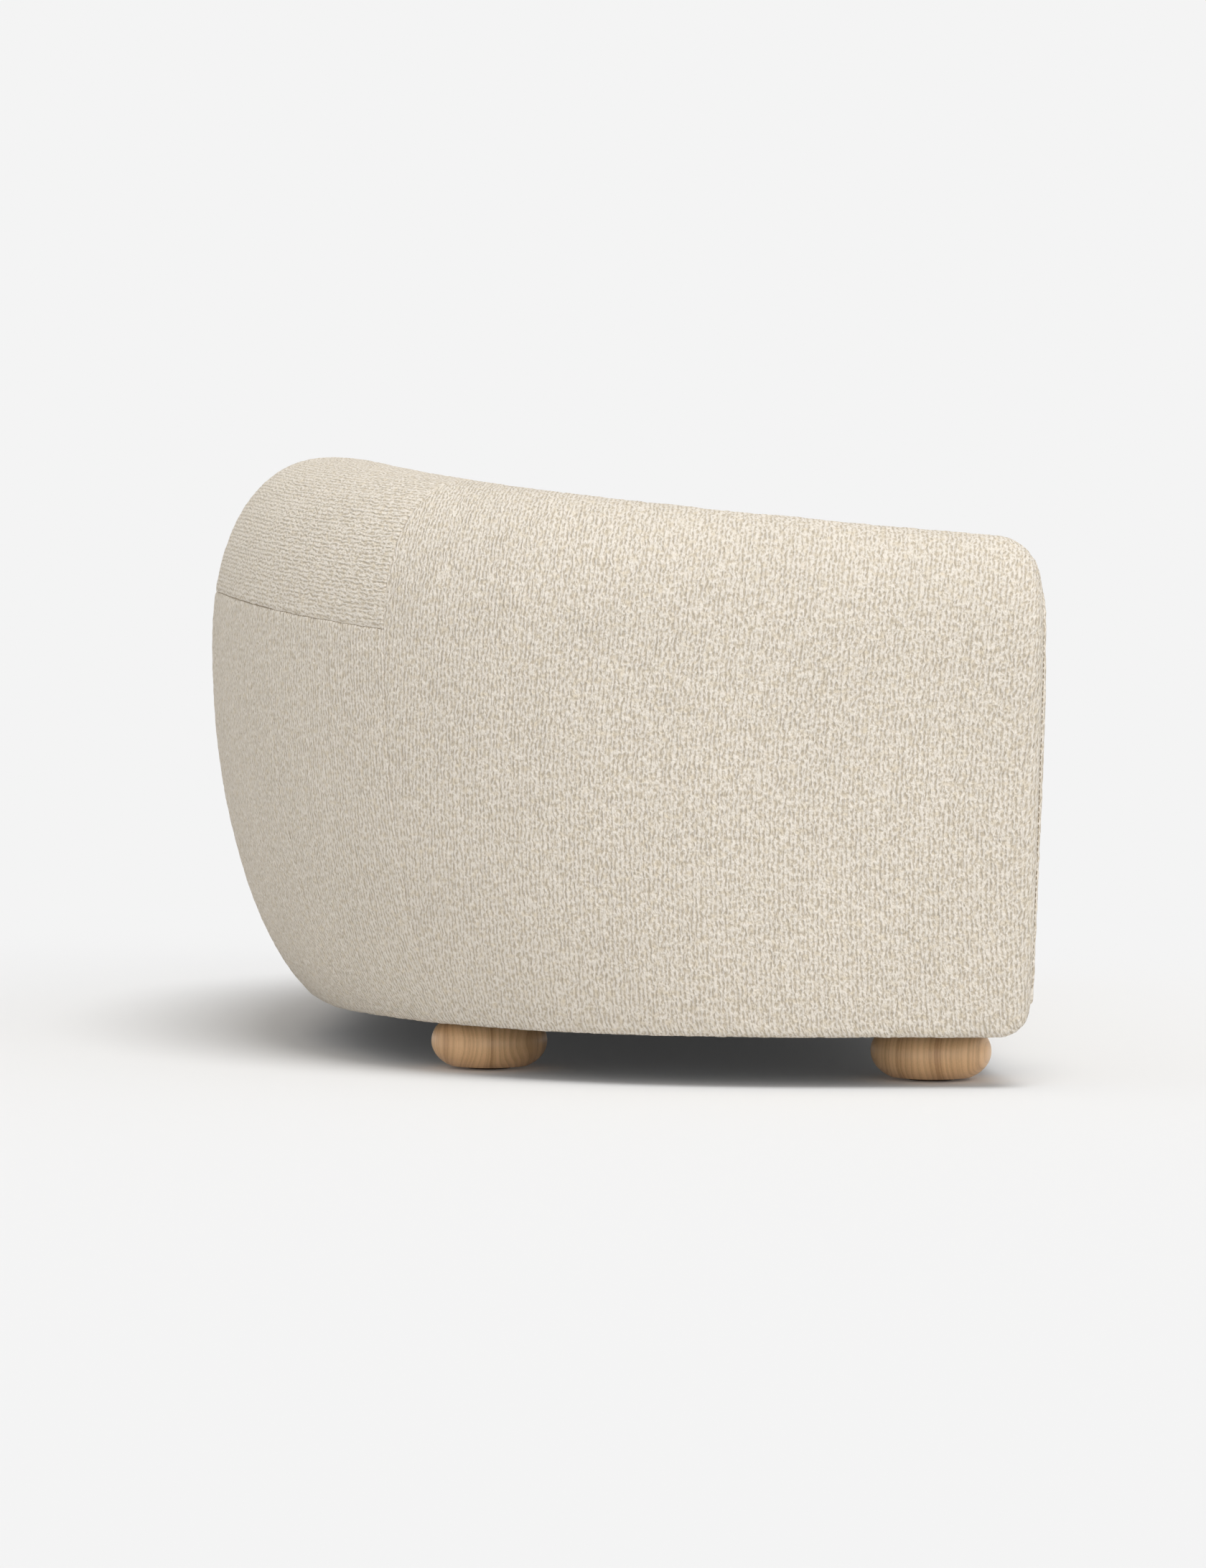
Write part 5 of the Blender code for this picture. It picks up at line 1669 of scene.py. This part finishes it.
class SOFA_OT_sew_seams(bpy.types.Operator):
    """Lays the stitches in the seams of the arms and the back"""

    bl_idname = "sofa.sew_seams"
    bl_label = "Sew the Seams"

    def execute(self, context):
        seams = context.scene.sofa_seams
        sunk = seams.depth - 0.0003
        round_back = np.arange(SIDE_SEAM, LENGTH - SIDE_SEAM, 0.012)
        rows = {"band": wall_seam(round_back, [band_spot(a) for a in round_back], sunk)}
        whole = np.concatenate([arm_stations(0.012), round_back[1:], mirrored(arm_stations(0.012))])
        rows["top"] = wall_seam(whole, [TOP_JOIN] * len(whole), sunk)
        for side, along in (("left", BACK_SEAM), ("right", LENGTH - BACK_SEAM)):
            spots = np.linspace(0.02, band_spot(along), 60)
            rows["back_" + side] = wall_seam([along] * 60, spots, sunk)
        for side, along in (("left", 0.0), ("right", LENGTH)):
            flat = to_world(along, wall_line(along, 0.05, DECK_LINE + 0.3))
            path = flat - np.array([0, 0.0004, 0])
            rows["facing_" + side] = (path, np.tile([0.0, -1.0, 0.0], (len(path), 1)))
        for name, (path, outward) in rows.items():
            piece = stitches("stitches_" + name, path, outward, seams)
            dress(piece, thread_material(), BODY, "boucle")
        return {"FINISHED"}


class SOFA_OT_fill_foam(bpy.types.Operator):
    """Cuts the foam under the covers and the deck, and laces the webbing"""

    bl_idname = "sofa.fill_foam"
    bl_label = "Fill with Foam"

    def execute(self, context):
        for side in ("left", "right"):
            alongs = np.arange(0.024, SIDE_SEAM - 0.004, 0.02)
            alongs = alongs if side == "left" else mirrored(alongs)
            piece = self.wall_foam(f"arm_foam_block_{side}", alongs)
            dress(piece, foam(), BODY, "foam", f"arm_foam_{side}")
        alongs = np.linspace(SIDE_SEAM + 0.002, LENGTH - SIDE_SEAM - 0.002, 110)
        piece = self.wall_foam("back_foam_block", alongs)
        dress(piece, foam(), BODY, "foam", "back_foam")
        self.fill_deck()
        self.lace_webbing()
        return {"FINISHED"}

    def wall_foam(self, name, alongs):
        """A sheet of foam over the arm or back, thin outside and full from the ridge on."""
        near, far = [], []
        for along in alongs:
            start = band_spot(along)
            points = profile(along)
            spots = np.arange(len(points)) / STEPS
            grown = np.clip((spots - start) / (RIDGE - start), FOAM_START_SHARE, 1)
            full = blend((ARM_FOAM, BACK_FOAM), place(along)[2])
            chosen = np.linspace(start + 0.03, TUCK_SPOT - 0.01, 46)
            deep = np.maximum(0.004 + full * grown, FOAM_DEPTH + 0.003)
            near.append(to_world(along, at(inset(points, FOAM_DEPTH), chosen)))
            far.append(to_world(along, at(inset(points, deep), chosen)))
        near, far = np.array(near), np.array(far)
        near = near - grid_normals(near) * 0.0006 * lattice_noise(near / 0.03, 6)[..., None]
        rows, columns = near.shape[:2]
        size = rows * columns
        faces = grid_faces(rows, columns).tolist()
        faces += grid_faces(rows, columns, size)[:, ::-1].tolist()
        rim = [i * columns for i in range(rows)]
        rim += [(rows - 1) * columns + j for j in range(1, columns)]
        rim += [i * columns + columns - 1 for i in range(rows - 2, -1, -1)]
        rim += list(range(columns - 2, 0, -1))
        faces += [[a, b, b + size, a + size] for a, b in zip(rim, rim[1:] + rim[:1])]
        return add_piece(name, np.concatenate([near.reshape(-1, 3), far.reshape(-1, 3)]), faces)

    def fill_deck(self):
        low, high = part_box("deck_pad")
        front = FRONT_Y + APRON_SETBACK + FABRIC + 0.002 + APRON_ROUNDING
        outline = even_outline(wall_outline(FABRIC + 0.003, front), 300)
        points, faces = soft_block(outline, low.z, high.z - 0.001, 0.006, 0.0005)
        piece = add_piece("deck_foam_pad", points, faces)
        dress(piece, foam(), BODY, "foam", "deck_pad")

    def lace_webbing(self):
        """Rubbered straps laced over and under each other, in rounded flat sections."""
        low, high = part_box("seat_webbing")
        middle_z = (low.z + high.z) / 2
        half = HALF_WIDTH - RAIL_INSET - RAIL_THICKNESS
        pitch = 2 * half / LONG_STRAPS
        outline = wall_outline(RAIL_INSET - DECK_INSET[0] + 0.002, low.y - TO_FRAME_Y)
        outline = outline[outline[:, 1] > low.y + 0.01]
        order = np.argsort(outline[:, 0])
        parts = []
        reach = high.y - low.y
        cross = [low.y + reach * (k + 0.8) / (CROSS_STRAPS + 0.6) for k in range(CROSS_STRAPS)]
        long = [-half + pitch * (k + 0.5) for k in range(LONG_STRAPS)]
        for number, x in enumerate(long):
            end = float(np.interp(x, outline[order, 0], outline[order, 1])) - 0.004
            y = np.linspace(low.y, end, 70)
            sign = 1 if number % 2 else -1
            lace = sum(self.hump(y, at_, k) for k, at_ in enumerate(cross)) * sign
            path = np.stack([np.full(70, x), y, middle_z + 0.0011 * lace], 1)
            parts.append(self.strap(path, (1, 0, 0)))
        left = outline[outline[:, 0] < 0]
        rising = np.argsort(left[:, 1])
        for number, y in enumerate(cross):
            side = float(np.interp(y, left[rising, 1], left[rising, 0])) + 0.004
            x = np.linspace(side, -side, 160)
            sign = -1 if number % 2 else 1
            lace = sum(self.hump(x, at_, k) for k, at_ in enumerate(long)) * sign
            path = np.stack([x, np.full(160, y), middle_z + 0.0011 * lace], 1)
            parts.append(self.strap(path, (0, 1, 0)))
        piece = joined("laced_webbing", parts)
        straps = woven("woven_rubbered_webbing", "#5A4B3A", "#2E261D", 0.0030, 0.0006, Roughness=0.85)
        dress(piece, straps, BODY, "webbing", "seat_webbing")

    def hump(self, run, middle, number):
        near = np.clip(1 - np.abs(run - middle) / 0.06, 0, 1)
        return near * near * (3 - 2 * near) * (1 if number % 2 else -1)

    def strap(self, path, across):
        half, thick = WEB_WIDTH / 2, 0.0009
        ring = [(-half, 0), (-half + 0.001, thick), (half - 0.001, thick)]
        ring += [(half, 0), (half - 0.001, -thick), (-half + 0.001, -thick)]
        side = np.array(across, float)
        rings = [point + np.array([a * side + np.array([0, 0, b]) for a, b in ring]) for point in path]
        points, faces = loft(rings)
        return points, faces, np.zeros((len(points), 2))


class SOFA_OT_make_cushions(bpy.types.Operator):
    """Cuts, fills and sews the two seat cushions, with a zip along the rear of each"""

    bl_idname = "sofa.make_cushions"
    bl_label = "Make the Seat Cushions"

    def execute(self, context):
        settings, seams = context.scene.sofa_cushions, context.scene.sofa_seams
        for side in ("left", "right"):
            outline = cushion_outline(side)
            body = "seat_cushion_" + side
            low, high = DECK_HEIGHT + 0.001, SEAT_HEIGHT - 0.006
            base = low + CUSHION_LIFT
            start = inward(outline, CUSHION_MARGIN)
            points, faces = soft_block(start, base, high, EDGE_INSET, EDGE_DROP)
            piece = add_piece("boucle_seat_cushion_" + side, points, faces)
            mesh = swollen(piece, settings, outline)
            seam_top, seam_low = high - EDGE_DROP - TOP_SEAM_DROP, base + LOW_SEAM_RISE
            top = edge_line(outline, CUSHION_MARGIN, EDGE_INSET, None, seam_top)
            bottom = edge_line(outline, CUSHION_MARGIN, EDGE_INSET, seam_low, None)
            paths = sew_cushion(mesh, (top, bottom), seams)
            points = held_in(coordinates(mesh), outline, 0.002)
            points[:, 2] = np.clip(points[:, 2], DECK_HEIGHT + 0.0008, SEAT_HEIGHT + 0.008)
            place_points(mesh, points)
            map_cushion(mesh, outline)
            mesh.shade_smooth()
            dress(piece, boucle(), body, "boucle", "cushion_cover_" + side)
            self.fill(side, outline, body)
            self.add_stitches(side, paths, mesh, seams, body)
            self.add_zip(side, outline, mesh, body)
        return {"FINISHED"}

    def fill(self, side, outline, body):
        """A block of foam that stays just inside the sewn cover."""
        outline = inward(outline, FOAM_MARGIN)
        points, faces = soft_block(outline, DECK_HEIGHT + 0.012, SEAT_HEIGHT - 0.024, 0.012, 0.008)
        piece = add_piece("cushion_foam_block_" + side, points, faces)
        dress(piece, foam(), body, "foam", "cushion_foam_" + side)

    def add_stitches(self, side, paths, mesh, seams, body):
        middle = coordinates(mesh).mean(0)
        for name, path in zip(("top", "bottom"), paths):
            outward = path - middle
            outward /= np.linalg.norm(outward, axis=1)[:, None]
            lift = 0.6 if name == "top" else -0.6
            outward = outward * np.array([1, 1, 0]) + np.array([0, 0, lift])
            outward /= np.linalg.norm(outward, axis=1)[:, None]
            ways = np.concatenate([outward, outward[:1]])
            closed = np.concatenate([path, path[:1]]) - ways * THREAD_INSET
            piece = stitches(f"stitches_cushion_{side}_{name}", closed, ways, seams)
            dress(piece, thread_material(), body, "boucle")

    def add_zip(self, side, outline, mesh, body):
        """A nylon coil on its woven tape, with a slider at one end."""
        points = coordinates(mesh)
        surface = BVHTree.FromPolygons(points.tolist(), [tuple(p.vertices) for p in mesh.polygons])
        ahead = np.roll(outline, -1, 0) - np.roll(outline, 1, 0)
        ahead /= np.linalg.norm(ahead, axis=1)[:, None]
        normal = np.stack([ahead[:, 1], -ahead[:, 0]], 1)
        across = np.abs(outline[:, 0])
        chosen = (across > ZIP_START) & (across < ZIP_END) & (outline[:, 1] > CURVE_Y)
        middle = (DECK_HEIGHT + SEAT_HEIGHT) / 2
        line, ways = [], []
        for (x, y), (nx, ny) in zip(outline[chosen], normal[chosen]):
            hit = surface.ray_cast((x + nx * 0.05, y + ny * 0.05, middle), (-nx, -ny, 0))[0]
            if hit is None:
                raise RuntimeError("the zip missed the side of cushion " + side)
            line.append(hit)
            ways.append((nx, ny, 0))
        line, ways = np.array(line), np.array(ways)
        order = np.argsort(line[:, 0])
        line, ways = line[order], ways[order]
        where = np.arange(0, distances(line)[-1], ZIP_PITCH)
        along = distances(line)
        path = points_on(line, where)
        for _ in range(10):
            path[1:-1] = (path[:-2] + 2 * path[1:-1] + path[2:]) / 4
        out = np.stack([np.interp(where, along, ways[:, k]) for k in range(3)], -1)
        rise = np.linspace(-ZIP_HALF_WIDTH, ZIP_HALF_WIDTH, 7)
        tape = path[:, None] + np.array([0, 0, 1.0]) * rise[:, None]
        bulge = ZIP_STAND_OFF - 0.0009 * np.abs(rise / ZIP_HALF_WIDTH)
        tape = tape + out[:, None] * bulge[:, None]
        tape_part = (tape, grid_faces(*tape.shape[:2]).tolist(), cloth_places(tape))
        teeth = 0.0008 + 0.0003 * (np.arange(len(path)) % 2)
        coil = tube(path + out * ZIP_STAND_OFF, teeth, 8)
        slider = self.slider(path[12] + out[12] * 0.0018, path[20] - path[12])
        piece = joined("cushion_zip_coil_" + side, [tape_part, coil, slider])
        tape_cloth = woven("woven_nylon_zip", "#D9D0BF", "#A89D89", 0.0018, 0.0003, Roughness=0.5)
        dress(piece, tape_cloth, body, "zip", "cushion_zip_" + side)

    def slider(self, centre, ahead):
        """A small waisted slider that stands on the coil."""
        ahead = ahead / np.linalg.norm(ahead)
        run = np.linspace(-0.0045, 0.0045, 9)
        width = 0.0016 + 0.0009 * np.abs(run / 0.0045) ** 2
        width[[0, -1]] *= 0.6
        return tube(centre + run[:, None] * ahead, width, 10)


class SOFA_OT_turn_feet(bpy.types.Operator):
    """Turns the four bun feet and the leg under the middle"""

    bl_idname = "sofa.turn_feet"
    bl_label = "Turn the Feet"

    def execute(self, context):
        for name, centre in foot_places().items():
            low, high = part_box("foot_" + name)
            bore = BOLT_RADIUS
            outer = bun_outline(low.z, high.z)
            bore_end = UNDERSIDE_HEIGHT - 0.0453
            outline = [(0.0004, low.z), *outer, (bore, high.z), (bore, bore_end), (0.0004, bore_end)]
            piece = self.turned(f"turned_foot_{name}", outline, centre, 144)
            dress(piece, feet_wood(), BODY, "turned_wood", "foot_" + name)
        low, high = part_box("center_leg")
        centre = np.array([(low.x + high.x) / 2, (low.y + high.y) / 2])
        radius = (high.x - low.x) / 2
        slim = radius * 0.85
        outline = [(0.0004, low.z), (slim - 0.0015, low.z), (slim, low.z + 0.0015)]
        for share in np.linspace(0.1, 1, 8):
            height = low.z + (high.z - 0.018 - low.z) * share
            outline.append((slim + (radius - slim) * share**3, height))
        outline += [(radius, high.z - 0.0015), (radius - 0.0015, high.z), (0.0004, high.z)]
        piece = self.turned("turned_center_leg", outline, centre, 64)
        dress(piece, feet_wood(), BODY, "turned_wood", "center_leg")
        return {"FINISHED"}

    def turned(self, name, outline, centre, segments):
        points, faces = turned_solid(outline, centre, segments)
        piece = add_piece(name, points, faces)
        piece.data.set_sharp_from_angle(angle=math.radians(35))
        return piece


class SOFA_OT_finish_frame(bpy.types.Operator):
    """Gives the hidden frame, its bolts and the felt glides their own materials"""

    bl_idname = "sofa.finish_frame"
    bl_label = "Finish the Frame"

    def execute(self, context):
        pine = ("sawn_pine", "#DDBE8C", "#B98B55")
        birch = ("#DDC39B", "#BE9C6C")
        long_pine = finish(pine[0], sawn_wood, *pine, (14, 90, 220))
        deep_pine = finish("sawn_pine_rail", sawn_wood, "sawn_pine_rail", *pine[1:], (90, 14, 220))
        flat_ply = finish("birch_plywood", sawn_wood, "birch_plywood", *birch, (9, 60, 60), 0.003)
        bent_ply = finish("bent_birch_plywood", sawn_wood, "bent_birch_plywood", *birch, (70, 70, 9))
        felt = woven("pressed_wool_felt", "#4A3F37", "#2B241F", 0.0016, 0.0006, Roughness=1.0)
        finishes = (
            ("base_plate_", flat_ply),
            ("seat_rail_front", long_pine),
            ("seat_rail_back", long_pine),
            ("seat_rail_", deep_pine),
            ("back_top_rail", long_pine),
            ("arm_top_rail_", deep_pine),
            ("corner_rib_", bent_ply),
            ("back_rib_", bent_ply),
            ("arm_post_", bent_ply),
            ("arm_panel_", bent_ply),
            ("hanger_bolt_", steel()),
            ("glide_", felt),
        )
        for name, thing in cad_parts.items():
            if thing.hide_render:
                continue
            fitting = [material for start, material in finishes if name.startswith(start)]
            if not fitting:
                raise RuntimeError(f"no material is set for the frame's {name}")
            thing.data.materials.clear()
            thing.data.materials.append(fitting[0])
        return {"FINISHED"}


class SOFA_OT_set_stage(bpy.types.Operator):
    """Lays the pale floor, sets the soft light and places the camera"""

    bl_idname = "sofa.set_stage"
    bl_label = "Set the Stage"

    def execute(self, context):
        settings = context.scene.sofa_stage
        self.lay_floor(settings)
        self.light_room(context, settings)
        self.place_camera(context, settings)
        context.scene.view_settings.view_transform = "Standard"
        return {"FINISHED"}

    def lay_floor(self, settings):
        angle = np.linspace(0, 2 * math.pi, 96, endpoint=False)
        rings = [np.zeros((96, 3))]
        for radius in (0.5, 1, 1.5, 2, 3, 4.5, 7, 12, 25, 60):
            ring = np.stack([radius * np.cos(angle), radius * np.sin(angle), angle * 0], 1)
            rings.append(ring)
        rings[0] = rings[1] * 0.01
        points, faces = loft(rings, capped=False)
        faces.append(list(range(96))[::-1])
        floor = add_piece("studio_floor", points, faces)
        made = bmesh.new()
        made.from_mesh(floor.data)
        made.normal_update()
        bmesh.ops.reverse_faces(made, faces=[f for f in made.faces if f.normal.z < 0])
        made.to_mesh(floor.data)
        made.free()
        floor.data.materials.append(finish("matt_studio_paper", paper_floor, settings))

    def light_room(self, context, settings):
        """Even light from all round, a broad light from high up and a weak low one from the left."""
        world = bpy.data.worlds.new("studio_room")
        world.use_nodes = True
        tree = world.node_tree
        tree.nodes.clear()
        room = node(tree, "Background", {"Color": (1, 1, 1, 1), "Strength": settings.ambient})
        behind = node(tree, "Background", {"Color": (*settings.backdrop, 1), "Strength": 1.0})
        direct = node(tree, "LightPath").outputs["Is Camera Ray"]
        both = node(tree, "MixShader", {0: direct, 1: room.outputs[0], 2: behind.outputs[0]})
        node(tree, "OutputWorld", {"Surface": both.outputs[0]})
        context.scene.world = world
        for name, strength, angle, source in (
            ("high_broad_light", settings.key, 32, (-0.40, -0.13, 0.90)),
            ("low_soft_light", settings.fill, 70, (-0.90, -0.38, 0.20)),
        ):
            lamp = bpy.data.lights.new(name, "SUN")
            lamp.energy = strength
            lamp.angle = math.radians(angle)
            light = bpy.data.objects.new(name, lamp)
            context.scene.collection.objects.link(light)
            light.rotation_euler = self.towards(source)

    def towards(self, source):
        """The turn that makes a lamp or camera look back from a place at the origin."""
        x, y, z = source
        level = math.hypot(x, y)
        return (math.atan2(level, z), 0, math.atan2(y, x) + math.pi / 2)

    def place_camera(self, context, settings):
        lens = bpy.data.cameras.new("studio_camera")
        lens.lens = 75
        lens.sensor_width = 36
        lens.clip_end = 200
        camera = bpy.data.objects.new("studio_camera", lens)
        context.scene.collection.objects.link(camera)
        side = -HALF_WIDTH - BULGE[0] + 0.02
        camera.location = (side - settings.distance, -0.020, settings.height)
        camera.rotation_euler = (math.pi / 2, 0, -math.pi / 2)
        context.scene.camera = camera


# ---------------------------------------------------------------- panel and registration


OPERATORS = (
    SOFA_OT_set_stage,
    SOFA_OT_cover_arms,
    SOFA_OT_cover_back,
    SOFA_OT_cover_base,
    SOFA_OT_sew_seams,
    SOFA_OT_fill_foam,
    SOFA_OT_make_cushions,
    SOFA_OT_turn_feet,
    SOFA_OT_finish_frame,
)

SETTINGS = {
    "sofa_boucle": SofaBoucle,
    "sofa_seams": SofaSeams,
    "sofa_cushions": SofaCushions,
    "sofa_wood": SofaWood,
    "sofa_stage": SofaStage,
}


class SOFA_PT_looks(bpy.types.Panel):
    """Lists the steps that make the sofa's looks, with their settings"""

    bl_idname = "SOFA_PT_looks"
    bl_label = "Curved Boucle Sofa"
    bl_space_type = "VIEW_3D"
    bl_region_type = "UI"
    bl_category = "Sofa"

    def draw(self, context):
        for name, group in SETTINGS.items():
            box = self.layout.box()
            box.label(text=name.replace("sofa_", "").capitalize())
            for setting in group.__annotations__:
                box.prop(getattr(context.scene, name), setting)
        for operator in OPERATORS:
            self.layout.operator(operator.bl_idname)


def register():
    for name, group in SETTINGS.items():
        bpy.utils.register_class(group)
        setattr(bpy.types.Scene, name, PointerProperty(type=group))
    for made in (*OPERATORS, SOFA_PT_looks):
        bpy.utils.register_class(made)


def unregister():
    for made in (SOFA_PT_looks, *reversed(OPERATORS)):
        bpy.utils.unregister_class(made)
    for name, group in reversed(SETTINGS.items()):
        delattr(bpy.types.Scene, name)
        bpy.utils.unregister_class(group)


def main():
    register()
    bpy.ops.sofa.set_stage()
    bpy.ops.sofa.cover_arms()
    bpy.ops.sofa.cover_back()
    bpy.ops.sofa.cover_base()
    bpy.ops.sofa.sew_seams()
    bpy.ops.sofa.fill_foam()
    bpy.ops.sofa.make_cushions()
    bpy.ops.sofa.turn_feet()
    bpy.ops.sofa.finish_frame()


if __name__ == "__main__":
    main()
